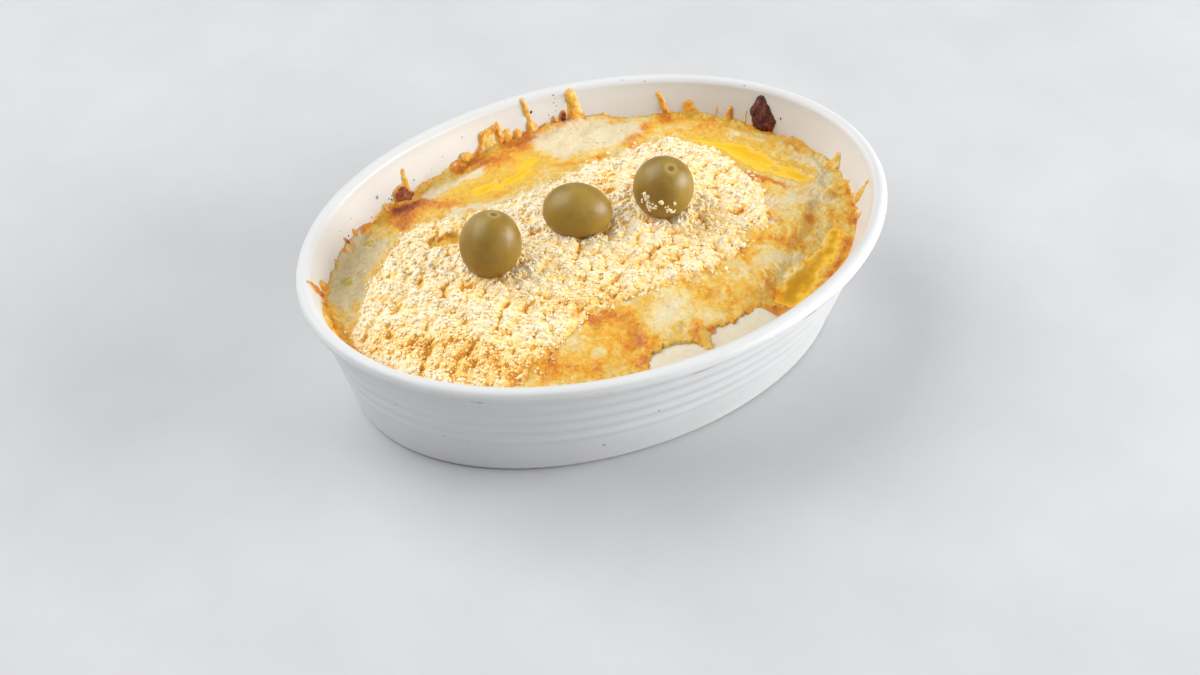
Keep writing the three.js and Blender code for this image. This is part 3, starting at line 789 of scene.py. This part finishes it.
# The crust on the wall: cheese that boiled up, baked on to the wall as a thin ragged skirt with
# tongues and lumps, and browned most where it is thinnest. One lump at the back burnt black.
crust_strokes = [
    # angle, height and radius at the foot and at the tip, thickness, browning
    (-27, 33, 2, -28.5, 38.4, 0.9, 0.8, 0.3), (-20, 33, 2.6, -21, 41, 1.7, 1, 0.4),
    (-21, 41, 1.7, -21.2, 45.4, 0.6, 0.8, 0.35), (-17, 33, 2, -17.6, 36.5, 1.2, 0.9, 0.32),
    (-10.5, 33, 1.5, -12, 37, 1, 1, 0.45), (-3, 33, 4.4, -2.8, 38.6, 2.2, 1.4, 0.38),
    (11.5, 32, 2.8, 12, 34.6, 2, 1.6, 0.5), (17, 32, 1.6, 17.5, 34.6, 1.4, 1.2, 0.45),
    (30.5, 35, 0.8, 30.6, 40.6, 0.4, 0.5, 0.3), (34.8, 34, 2.4, 34.9, 40.4, 1, 1, 0.42),
    (38.5, 36, 0.8, 38.6, 40.4, 0.4, 0.5, 0.35), (45, 35, 4.8, 46, 39.6, 2.6, 1.5, 0.44),
    (50.4, 36, 2, 53.4, 44.2, 1.1, 1.2, 0.5), (57, 33, 3.4, 57, 35.4, 2, 1.4, 0.5),
    (65, 35, 3.4, 66.5, 38, 1.4, 0.8, 0.28), (72.4, 37, 4.4, 72.9, 42.5, 3, 1.3, 0.46),
    (72.9, 42.5, 3, 73.4, 47, 2.1, 1.2, 0.46), (75.4, 40.2, 1.5, 75.3, 41.4, 1.1, 1.5, 0.88),
    (77.6, 39.6, 1.3, 77.6, 40.6, 0.8, 1.3, 0.66), (82.6, 36, 4, 83, 41.5, 1.4, 1.3, 0.45),
    (83, 41.5, 1.3, 84, 49, 0.9, 1, 0.46), (85.6, 35, 4, 86.4, 38.2, 2.6, 1.5, 0.48),
    (88.6, 36, 2.4, 88.6, 40, 1.5, 1.2, 0.44), (90.6, 35, 1.9, 90.7, 43.2, 1.1, 1.3, 0.52),
    (90.7, 43.2, 1.1, 94.5, 42, 1.3, 1.3, 0.5), (94.5, 42, 1.3, 96.5, 36, 1.2, 1.3, 0.6),
    (93, 34, 3.8, 93.2, 40.4, 2.9, 0.6, 0.34), (96.8, 36, 1.7, 96.4, 37.6, 1.2, 1.4, 0.68),
    (98.6, 34, 3.8, 102.4, 34.6, 3.4, 1.5, 0.54), (99, 37, 1.6, 100.4, 37.6, 1.2, 1.6, 0.5),
    (105.5, 34.6, 1.4, 105.8, 35.6, 0.8, 0.8, 0.42), (116.6, 35, 2.4, 116, 38.5, 1.7, 1.3, 0.46),
    (116, 38.5, 1.7, 115.4, 43, 1.2, 1.1, 0.46), (117.4, 33, 5.4, 118, 36.2, 3.6, 2.4, 0.84),
    (123.4, 33, 3, 123.6, 35.6, 2, 1.3, 0.6), (135.6, 36.4, 1.3, 135.5, 38.4, 1.1, 1, 0.62),
    (139.3, 37, 1.1, 139.4, 39, 0.8, 1.1, 0.8), (142.6, 36.4, 2, 143.4, 37.2, 1.1, 1, 0.6),
    (146.5, 36.6, 1.3, 146.7, 37.8, 0.8, 1, 0.6), (153, 35.4, 1.1, 153, 36.2, 0.6, 0.8, 0.5),
    (158, 33, 4.6, 158.7, 40.4, 2.6, 1.5, 0.5), (162, 34, 3.6, 162.6, 41, 1.8, 1.4, 0.58),
    (162.6, 41, 1.6, 164.6, 48.7, 0.9, 1.2, 0.7), (165, 33, 3, 165.4, 40, 1.6, 1, 0.46),
    (167, 38, 3.4, 177, 39.4, 3, 1.4, 0.45), (177, 39.4, 3, 190, 38.4, 2.4, 1.3, 0.45),
    (190, 38.4, 2.4, 200, 37.4, 1.8, 1.1, 0.44), (24.6, 34.6, 4.2, 25, 36, 4.6, 2.2, 0.7),
    (25.2, 38, 4.6, 26.5, 41.5, 3.7, 3.2, 0.9), (26.5, 41.5, 3.7, 27.5, 45.5, 1.8, 2.8, 0.93),
]
crust_low, crust_high = 31.5, 49.55
burnt_bulge = 2.5


def angle_between(first, second):
    return (first - second + 180) % 360 - 180


def crust_shape(degrees, heights):
    """The crust's thickness on the wall, its browning, and how far each place is inside its edge."""
    pace = np.radians(1) * np.hypot(
        nominal_length * np.sin(np.radians(degrees)), nominal_width * np.cos(np.radians(degrees))
    )
    around = degrees * pace
    wander = 0.85 * folds(around, heights, 3.6, 51.3)
    rough = folds(around, heights, 1.1, 57.9)
    crest = np.interp(degrees, *zip(*crust_crest))
    above = crest + 0.7 + 1.6 * folds(around, 0 * heights, 7, 61.7) + 0.8 * wander - heights
    above -= 1.7 * eased_all(degrees, 144, 150)
    thickness = np.where(above > 0, 0.55 * np.sqrt(np.clip(above / 1.5, 0, 4)), above * 0.5) - 0.22
    brown = 0.4 + 0.05 * np.exp(-((above / 1.3) ** 2)) + 0.14 * folds(around, heights, 9, 66.6)
    cover = above
    for angle0, height0, radius0, angle1, height1, radius1, bulge, strength in crust_strokes:
        beside = angle_between(degrees, angle0) * pace
        run, rise = angle_between(angle1, angle0) * pace, height1 - height0
        share = np.clip((beside * run + (heights - height0) * rise) / (run ** 2 + rise ** 2), 0, 1)
        radius = mixed(radius0, radius1, share)
        reach = radius + wander * np.minimum(1, radius * 0.45)
        gap = reach - np.hypot(beside - share * run, heights - height0 - share * rise)
        swell = bulge * np.sqrt(np.clip(gap / radius, 0, 1)) - 0.2
        thickness = np.maximum(thickness, np.where(gap > 0, swell, -0.4))
        burnt = bulge > burnt_bulge
        edge = 0 if burnt else 0.05 * np.exp(-((gap / 0.45) ** 2))
        cover = np.maximum(cover, gap)
        weight = np.clip(gap / 0.5 + (1 if burnt else 0), 0, 1)
        brown = mixed(brown, strength + edge, weight)
    present = np.clip(thickness / 0.4, 0, 1)
    nubs = 0.9 * blisters(around, heights, 1.5, 77.7) * eased_all(brown, 0.6, 0.85)
    return thickness + present * (0.3 * rough + 0.35 * wander + nubs), brown + 0.1 * rough, cover


crust_rows = 42
steps_a_degree = 4
drum_outside, drum_inside, drum_height = 100, 99, 2
section = [(drum_outside, drum_height * row / crust_rows) for row in range(crust_rows + 1)]
section += [(drum_inside, drum_height), (drum_inside, 0)]
bm = spun(section, 360 * steps_a_degree, closed=True)
drum = places_of(bm)
degrees = np.degrees(np.arctan2(drum[:, 1], drum[:, 0]))
degrees = np.round(degrees * steps_a_degree) / steps_a_degree
heights = mixed(crust_low, crust_high, drum[:, 2] / drum_height)
facing_food = np.hypot(drum[:, 0], drum[:, 1]) > (drum_outside + drum_inside) / 2
thickness, brown, cover = crust_shape(degrees, heights)
on_wall = wall_places(degrees, heights, 0 * heights)
pale = paleness(on_wall[:, 0], on_wall[:, 1]) * (1 - eased_all(brown, 0.44, 0.5))
lip_fade = 1 - eased_all(heights, 49.2, 49.5)

# Where there is no crust, its front lies sunk in the wall, and its back lies deeper still.
sunk_front, sunk_back = -0.35, -0.8
front = np.maximum(sunk_front, mixed(sunk_front, thickness, lip_fade))
depths = np.where(facing_food, front, sunk_back)
set_marks(bm, browned=brown, oily=0.1 + 0 * brown, pale=pale, cover=cover)
for vert, place in zip(bm.verts, wall_places(degrees, heights, depths)):
    vert.co = place
bmesh.ops.recalc_face_normals(bm, faces=bm.faces)
wall_crust = done_piece(bm, "wall_crust", cheese_paint("crust_on_wall", thin_edges=True))

# The white sauce: thick and smooth, welled up in two soft lumps between the crust and the wall.
bm = bmesh.new()
bmesh.ops.create_uvsphere(bm, u_segments=72, v_segments=96, radius=1)
for vert in bm.verts:
    along = vert.co.z
    fullness = max(1e-6, math.hypot(vert.co.x, vert.co.y))
    blunt = fullness ** 0.3
    upward = math.copysign(abs(vert.co.x / fullness) ** 0.4, vert.co.x) * blunt
    outward = math.copysign(abs(vert.co.y / fullness) ** 0.8, vert.co.y) * blunt
    swell = 0.35 * noise.noise(Vector((along * 4, vert.co.y * 1.5, 2)))
    height = sauce_height + upward * (sauce_rise + swell)
    depth = sauce_depth / 2 * (1 - outward)
    degrees = (sauce_from + sauce_to) / 2 + along * (sauce_to - sauce_from) / 2
    vert.co = wall_point(degrees, height, max(0.15, depth + 0.3))
bmesh.ops.recalc_face_normals(bm, faces=bm.faces)
sauce_paint = Paint("white_sauce", Subsurface_Weight=0.25, Subsurface_Scale=0.003, Roughness=0.3, IOR=1.45)
sauce_tone = sauce_paint.ramp(sauce_paint.cloud(3.5, 5, 0.6), [
    (0.3, (0.76, 0.70, 0.56)), (0.62, (0.75, 0.66, 0.48)), (0.8, (0.76, 0.56, 0.28)),
])
sauce_skin = sauce_paint.bump(sauce_paint.cloud(2.4, 4), 0.4)
white_sauce = done_piece(bm, "welled_sauce", sauce_paint.finish(Base_Color=sauce_tone, Normal=sauce_skin))
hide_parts("white_sauce")


# The oil: melted butter and oil that stands clear and yellow in the hollows of the cheese. Its
# level is flat, the cheese shows through where it is shallow, and it is darkest where it is deep.
def outline_grid(outline, margin, cell):
    """A flat grid over an outline, without the cells that lie outside it."""
    low, high = outline.min(axis=0) - margin, outline.max(axis=0) + margin
    middle, half = (low + high) / 2, (high - low) / 2
    bm = bmesh.new()
    bmesh.ops.create_grid(bm, x_segments=int(2 * half[0] / cell), y_segments=int(2 * half[1] / cell), size=1)
    bmesh.ops.transform(bm, matrix=Matrix.Diagonal((half[0], half[1], 1, 1)), verts=bm.verts)
    bmesh.ops.translate(bm, vec=(middle[0], middle[1], 0), verts=bm.verts)
    places = places_of(bm)
    inside = depth_inside(outline, places[:, 0], places[:, 1]) > -margin
    outside = [vert for vert, kept in zip(bm.verts, inside) if not kept]
    bmesh.ops.delete(bm, geom=outside, context="VERTS")
    return bm


def close_below(bm, height):
    edges = [edge for edge in bm.edges if edge.is_boundary]
    sunk = bmesh.ops.extrude_edge_only(bm, edges=edges)["geom"]
    for vert in (item for item in sunk if isinstance(item, bmesh.types.BMVert)):
        vert.co.z = height
    bmesh.ops.holes_fill(bm, edges=[edge for edge in bm.edges if edge.is_boundary], sides=0)
    bmesh.ops.recalc_face_normals(bm, faces=bm.faces)


oil_paint = Paint("melted_oil", IOR=1.4)
oil_depth = oil_paint.attribute("depth") + (oil_paint.cloud(4, 4, 0.6, 0.8) - 0.5) * 0.7
oil_depth = oil_depth + (oil_paint.cloud(1.3, 5, 0.65, 1.2) - 0.5) * 0.3
oil_tone = oil_paint.ramp(oil_depth / 2.4 + oil_paint.attribute("shade"), [
    (0.0, (0.93, 0.60, 0.05)), (0.25, (0.91, 0.53, 0.012)), (0.6, (0.74, 0.38, 0.003)),
    (0.95, (0.52, 0.24, 0.002)),
])
shallow = 1 - oil_paint.grade(oil_paint.attribute("depth") + (oil_paint.cloud(2, 4) - 0.5) * 0.7, 0.1, 1.3)
cheese_under, _ = cheese_tone(oil_paint)
oil_tone = oil_paint.mix(shallow, oil_tone, cheese_under)
oil_skin = oil_paint.bump(oil_paint.cloud(5, 3), 0.3, oil_paint.bump(oil_paint.cloud(1.6, 3), 0.1))
oil_paint.finish(Base_Color=oil_tone, Normal=oil_skin, Roughness=mixed(0.14, 0.35, shallow))
for name, pool in oil_pools.items():
    outline = smooth_outline(pool["outline"])
    bm = outline_grid(outline, 0.01, 0.6)
    x, y = places_of(bm)[:, 0], places_of(bm)[:, 1]
    shade = np.full(len(x), pool["shade"])
    set_marks(bm, depth=pool["level"] - top_height(x, y), shade=shade)
    set_marks(bm, browned=browning(x, y), oily=oiliness(x, y), pale=paleness(x, y))
    bmesh.ops.translate(bm, vec=(0, 0, pool["level"]), verts=bm.verts)
    close_below(bm, pool["level"] - 3)
    oil = done_piece(bm, name.replace("oil_pool", "standing_oil"), oil_paint.material)
    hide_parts(name)

# The olives: whole green olives laid on the grated cheese. Their skin is smooth and wet, browner
# where the brine left it, and two show the dimple where the stem was.
olives = {
    # centre, axis towards the stem end, length and width
    "olive_left": ((-40.4, 1.5, 53.2), (0.17, 0.05, 0.98), 23.8, 20.3),
    "olive_middle": ((-6.2, 3.9, 51.8), (-0.83, 0.56, 0.06), 23.6, 18.9),
    "olive_right": ((23.9, -1.8, 53.4), (0.01, -0.36, 0.93), 23.6, 20.6),
}


flatness, taper = 0.06, 0.05
dimple_depth, dimple_radius = 0.75, 1.1
collar_radius, collar_width = 1.7, 0.6


def olive_profile(length, width):
    steps = 40
    points = []
    for step in range(steps + 1):
        turn = math.pi * step / steps
        fullness = 1 - flatness * math.cos(turn) ** 2 - taper * math.cos(turn)
        radius = width / 2 * math.sin(turn) * fullness if 0 < step < steps else 0
        along = -length / 2 * math.cos(turn)
        dimple = dimple_depth * math.exp(-((radius / dimple_radius) ** 2)) if along > 0 else 0
        points.append((radius, along - dimple))
    return points


olive_paint = Paint(
    "olive_skin",
    Subsurface_Weight=0.1, Subsurface_Scale=0.003, Coat_Weight=0.25, Coat_Roughness=0.35, IOR=1.4,
)
ripeness = olive_paint.grade(olive_paint.cloud(13, 3, 0.5, 0.4), 0.35, 0.65)
olive_base = olive_paint.mix(ripeness, (0.255, 0.147, 0.013), (0.325, 0.211, 0.03))
streak = olive_paint.grade(olive_paint.cloud(4.5, 5, 0.6, 1.2), 0.5, 0.8)
olive_base = olive_paint.mix(streak * 0.35, olive_base, (0.2, 0.11, 0.01))
freckle = 1 - olive_paint.grade(olive_paint.cells(1.15), 0.08, 0.3)
olive_base = olive_paint.mix(freckle * 0.25, olive_base, (0.45, 0.36, 0.12))
# The olives are painted more golden-brown low down: painted shade on their lower sides.
shaded_underside = 1 - olive_paint.grade(olive_paint.axis("Z"), 43, 58)
olive_base = olive_paint.mix(shaded_underside * 0.7, olive_base, (0.30, 0.165, 0.006))
olive_base = olive_paint.mix(olive_paint.attribute("collar") * 0.6, olive_base, (0.55, 0.42, 0.14))
olive_base = olive_paint.mix(olive_paint.attribute("stem") * 0.85, olive_base, (0.15, 0.08, 0.03))
olive_dents = olive_paint.bump(olive_paint.cloud(6, 2), 0.25)
olive_skin = olive_paint.bump(olive_paint.cloud(1.0, 3), 0.03, olive_dents)
olive_gloss = mixed(0.38, 0.52, olive_paint.cloud(5, 3))
olive_paint.finish(Base_Color=olive_base, Normal=olive_skin, Roughness=olive_gloss)
olive_steps = 64
for name, (centre, axis, length, width) in olives.items():
    bm = spun(olive_profile(length, width), olive_steps)
    places = places_of(bm)
    from_stem = np.hypot(places[:, 0], places[:, 1]) + width * (places[:, 2] < 0)
    stem = np.exp(-(from_stem ** 2))
    set_marks(bm, stem=stem, collar=np.exp(-(((from_stem - collar_radius) / collar_width) ** 2)))
    for vert in bm.verts:
        vert.co *= 1 + 0.012 * noise.noise(vert.co * 0.12)
    turned = Vector((0, 0, 1)).rotation_difference(Vector(axis))
    bmesh.ops.rotate(bm, cent=(0, 0, 0), matrix=turned.to_matrix(), verts=bm.verts)
    bmesh.ops.translate(bm, vec=centre, verts=bm.verts)
    olive = done_piece(bm, name.replace("olive", "green_olive"), olive_paint.material)
    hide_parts(name)

# The grated cheese: fine crumbs of hard cheese strewn over the middle and the left. A core carries
# the heap's form, and loose crumbs of every size lie on it and thin out past its edge.
heap_outline = smooth_outline([
    (-92, 2), (-80, 22), (-64, 35), (-48, 38), (-28, 33), (-2, 34), (22, 35), (46, 38), (58, 30),
    (63, 12), (60, -9), (52, -20), (36, -29), (14, -33), (-12, -31), (-34, -35), (-50, -45), (-66, -47),
    (-81, -33), (-90, -16),
], 4)
heap_mounds = [
    # plan place, radius and rise
    (-66, -8, 26, 2.6), (-38, -4, 24, 2.7), (-6, 0, 24, 3), (26, 4, 24, 3.4), (-58, -32, 14, 1.6),
    (46, 18, 14, 1.4),
]
toasted_strokes = [
    ([(-47, 29), (-40, 28)], 3.6, 0.25), ([(-86, -8), (-76, -22), (-60, -32)], 6, 0.34),
    ([(-80, -16), (-66, -22)], 4, 0.3), ([(-70, -34), (-56, -42), (-48, -44)], 6, 0.4),
    ([(-40, -20), (-28, -27), (-12, -27)], 4, 0.28), ([(0, -22), (18, -24), (34, -20)], 5, 0.2),
    ([(12, 18), (18, 24)], 4, 0.3), ([(-60, 0), (-50, -8)], 5, 0.16), ([(36, -12), (48, -14)], 4, 0.2),
    ([(-66, 10), (-60, 14)], 4, 0.14),
]


clump_gap = 3.7


def clumps(x, y):
    """Rounded clumps of crumbs with furrows between them, about -0.6 to 0.6."""
    spots = zip(x / clump_gap, y / clump_gap)
    gaps = np.array([noise.voronoi(Vector((a, b, 91.5)))[0][0] for a, b in spots])
    domes = np.sqrt(np.maximum(0, 1 - (1.3 * gaps) ** 2))
    return 0.45 * folds(x, y, 6, 21.4) + 0.25 * folds(x, y, 2.6, 31.4) + 0.8 * (domes - 0.62)


def heap_depth(x, y):
    """How far inside the heap's ragged edge each place is, negative outside it."""
    bare = strokes(x, y, [([(-48, 24.5), (-43, 23)], 3.4, 40), ([(-88, 10), (-77, 25), (-64, 36)], 6, 7)])
    return depth_inside(heap_outline, x, y) + 2.4 * folds(x, y, 8, 71.3) + 1.2 * folds(x, y, 2.6, 31.4) - bare


def heap_height(x, y, depth, clump):
    height = cover_height(x, y) - 1.6 + 2.6 * eased_all(depth, -2.5, 1.5)
    height += 1.7 * clump * eased_all(depth, -2, 3)
    for px, py, reach, rise in heap_mounds:
        height += rise * near_points(x, y, [(px, py)], reach) * eased_all(depth, -1, 7)
    return height


def toasting(x, y, clump):
    return 0.3 + strokes(x, y, toasted_strokes) - 0.45 * clump


# Painted light and shade: a crumb's colour is painted palest on the side that faces the window and more
# golden on its lower and near sides.
painted_light_side = np.array((-0.5, 0.62, 0.6))


def grains(x, y, size, seed):
    """Round grains packed side by side, from 0 between them to 1 on top."""
    gaps = np.array([noise.voronoi(Vector((a, b, seed)))[0][0] for a, b in zip(x / size, y / size)])
    return np.sqrt(np.maximum(0, 1 - (1.25 * gaps) ** 2))


core_margin, core_cell, core_foot = 3, 0.37, 34
bm = outline_grid(heap_outline, core_margin, core_cell)
places = places_of(bm)
x, y = places[:, 0], places[:, 1]
clump = clumps(x, y)
grainy = 0.6 * grains(x, y, 1.3, 81.9) + 0.4 * grains(x, y, 2.3, 83.7)
height = heap_height(x, y, heap_depth(x, y), clump) - 0.35 + 0.8 * grainy
for vert, rise in zip(bm.verts, height):
    vert.co.z = rise
bm.normal_update()
facing = np.array([vert.normal for vert in bm.verts]) @ painted_light_side
# The core is painted paler where it faces the window and more golden where it turns away, as painted light
# and shade, and more golden between its grains.
set_marks(bm, toasted=toasting(x, y, clump) + 0.58 - 0.4 * grainy - 0.62 * facing)
close_below(bm, core_foot)


def crumb_paint(name, warmth):
    paint = Paint(name, Roughness=0.75, IOR=1.3)
    # The toasting read here also carries the painted light and shade of each crumb's sides.
    toast = paint.attribute("toasted") + (paint.cloud(1.6, 3) - 0.5) * 0.3 + warmth
    tone = paint.ramp(toast, [
        (0.0, (0.93, 0.85, 0.67)), (0.3, (0.95, 0.80, 0.51)), (0.5, (0.97, 0.75, 0.36)),
        (0.8, (0.96, 0.63, 0.18)), (1.0, (0.72, 0.34, 0.05)),
    ])
    return paint.finish(Base_Color=tone, Normal=paint.bump(paint.cloud(0.45, 2), 0.08))


heap_core = done_piece(bm, "grated_cheese_core", crumb_paint("packed_crumbs", 0.12))
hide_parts("grated_cheese")

olive_shapes = []
for centre, axis, length, width in olives.values():
    unturn = np.array(Vector((0, 0, 1)).rotation_difference(Vector(axis)).to_matrix())
    olive_shapes.append((np.array(centre), unturn, np.array((width / 2, width / 2, length / 2))))


def clear_of_olives(places, margin):
    """True for each place outside the olives."""
    clear = np.ones(len(places), bool)
    for centre, unturn, half_sizes in olive_shapes:
        local = (places - centre) @ unturn
        clear &= np.linalg.norm(local / (half_sizes + margin), axis=1) > 1
    return clear


def crumb_shapes(count, level, draws):
    """A few knobbly crumbs, each as its corners and faces."""
    shapes = []
    for _ in range(count):
        bm = bmesh.new()
        bmesh.ops.create_icosphere(bm, subdivisions=level, radius=1)
        for vert in bm.verts:
            vert.co *= draws.uniform(0.8, 1.15)
        stretch = (draws.uniform(0.9, 1.2), draws.uniform(0.8, 1.1), draws.uniform(0.75, 1))
        bmesh.ops.scale(bm, vec=stretch, verts=bm.verts)
        bm.verts.index_update()
        shapes.append((places_of(bm), np.array([[vert.index for vert in face.verts] for face in bm.faces])))
        bm.free()
    return shapes


def strewn_crumbs(name, places, sizes, toasts, shapes, paint, draws):
    """Joins one crumb of random shape and turn at each place into one mesh."""
    all_corners, all_faces, all_toast_and_shade = [], [], []
    start = 0
    for place, size, toast in zip(places, sizes, toasts):
        corners, faces = draws.choice(shapes)
        turn = Quaternion([draws.gauss(0, 1) for _ in range(4)]).normalized().to_matrix()
        turned = corners @ np.array(turn).T
        all_corners.append(turned * size + place)
        all_faces.append(faces + start)
        # Each crumb is painted paler on its side towards the window and more golden on the far side: painted
        # light and shade.
        all_toast_and_shade.append(toast - 0.7 * turned @ painted_light_side)
        start += len(corners)
    mesh = bpy.data.meshes.new(name)
    mesh.from_pydata(np.concatenate(all_corners) * MM, [], np.concatenate(all_faces).tolist())
    marks = mesh.attributes.new("toasted", "FLOAT", "POINT")
    marks.data.foreach_set("value", np.concatenate(all_toast_and_shade).astype(np.float32))
    mesh.materials.append(paint)
    mesh.shade_smooth()
    piece = bpy.data.objects.new(name, mesh)
    bpy.context.scene.collection.objects.link(piece)
    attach(piece, "root")
    return piece


def strewing(count, smallest, largest, seed):
    """Places, sizes and toasting for loose crumbs, thick over the heap and thin past its edge."""
    chance = np.random.default_rng(seed)
    low, high = heap_outline.min(axis=0) - 6, heap_outline.max(axis=0) + 6
    tried = count * 4
    x, y = chance.uniform(low[0], high[0], tried), chance.uniform(low[1], high[1], tried)
    depth = heap_depth(x, y)
    clump = clumps(x, y)
    covered = eased_all(depth + 1.5 * clump, -5, 1.5) ** 1.8
    kept = chance.random(tried) < covered * (0.3 + 0.7 * eased_all(clump, -0.5, 0.1))
    kept &= out_share(x, y) < 0.965
    x, y, depth, clump = x[kept][:count], y[kept][:count], depth[kept][:count], clump[kept][:count]
    size = mixed(smallest, largest, chance.random(len(x)) ** 2.4)
    lift = size * chance.uniform(-0.4, 0.6, len(x)) + 0.2 * np.maximum(0, clump) * chance.random(len(x))
    ground = np.maximum(heap_height(x, y, depth, clump) + 0.2, top_height(x, y))
    places = np.column_stack([x, y, ground + lift])
    toast = toasting(x, y, clump) + 0.1 - 0.5 * lift + chance.normal(0, 0.08, len(x))
    clear = clear_of_olives(places, 0.15)
    return places[clear], size[clear], toast[clear]


draws = random.Random(7)
small_shapes = crumb_shapes(9, 1, draws)
large_shapes = crumb_shapes(6, 2, draws)
crumb_kinds = {
    # how many, the smallest and largest radius, and the shapes
    "finest_crumbs": (3600, 0.24, 0.4, small_shapes),
    "fine_crumbs": (3600, 0.32, 0.52, small_shapes),
    "small_crumbs": (3000, 0.4, 0.66, small_shapes),
    "crumbs": (1600, 0.5, 0.86, small_shapes),
    "coarse_crumbs": (300, 0.8, 1.1, large_shapes),
}
for seed, (name, (count, smallest, largest, shapes)) in enumerate(crumb_kinds.items()):
    strewn = strewing(count, smallest, largest, seed)
    strewn_crumbs(name, *strewn, shapes, crumb_paint(name, 0), draws)

# A few crumbs cling to the wet skin of the right olive, low on its near side.
clusters = [
    # direction from the olive's centre, spread, and how many crumbs
    ((-0.91, -0.33, 0.2), 0.13, 20), ((-0.8, -0.6, -0.02), 0.12, 14), ((-0.34, -0.94, -0.12), 0.12, 14),
    ((-0.6, -0.78, 0.16), 0.07, 5),
]
clinging = []
olive_centre, olive_turn, olive_halves = olive_shapes[2]
for toward, spread, count in clusters:
    for _ in range(count):
        direction = np.array(toward) + np.array([draws.gauss(0, spread) for _ in range(3)])
        reach = 1 / np.linalg.norm((direction @ olive_turn) / olive_halves)
        clinging.append(olive_centre + direction * reach)
sizes = [draws.uniform(0.3, 0.8) for _ in clinging]
toasts = [draws.uniform(-0.1, 0.2) for _ in clinging]
clinging_paint = crumb_paint("clinging_crumbs", 0)
strewn_crumbs("clinging_crumbs", clinging, sizes, toasts, small_shapes, clinging_paint, draws)

# Burnt specks on the wall above the crust, where the cheese spat.
burnt_specks = [
    # plan angle, height and radius
    (76.9, 42.6, 0.3), (76.6, 44.2, 0.25), (77.1, 45.5, 0.3), (76.8, 46.8, 0.2), (77, 48.2, 0.35),
    (82.4, 44.3, 0.6), (78.6, 41.8, 0.3), (113.5, 38.4, 0.35), (121, 37.2, 0.45), (121.6, 38, 0.3),
    (120.6, 38.3, 0.25), (99, 43.9, 0.3), (134.2, 42, 0.3), (139.4, 42.1, 0.25), (128.4, 36.9, 0.3),
    (108.4, 38.6, 0.25), (20.6, 41, 0.4), (60.4, 42, 0.2), (86.8, 39.6, 0.4), (137.8, 38.6, 0.35),
    (150.5, 38.2, 0.3), (32.5, 49, 0.25), (56.5, 48.6, 0.25), (61.5, 49.3, 0.25),
]
speck_data = np.array(burnt_specks)
speck_places = wall_places(speck_data[:, 0], speck_data[:, 1], 0 * speck_data[:, 1])
charred = np.full(len(speck_data), 1.3)
burnt_paint = Paint("burnt_speck", Roughness=0.6)
burnt_tone = burnt_paint.ramp(
    burnt_paint.cloud(1, 2), [(0.3, (0.045, 0.02, 0.012)), (0.7, (0.16, 0.06, 0.02))]
)
burnt_paint.finish(Base_Color=burnt_tone)
specks = strewn_crumbs(
    "burnt_specks", speck_places, speck_data[:, 2], charred, small_shapes, burnt_paint.material, draws
)
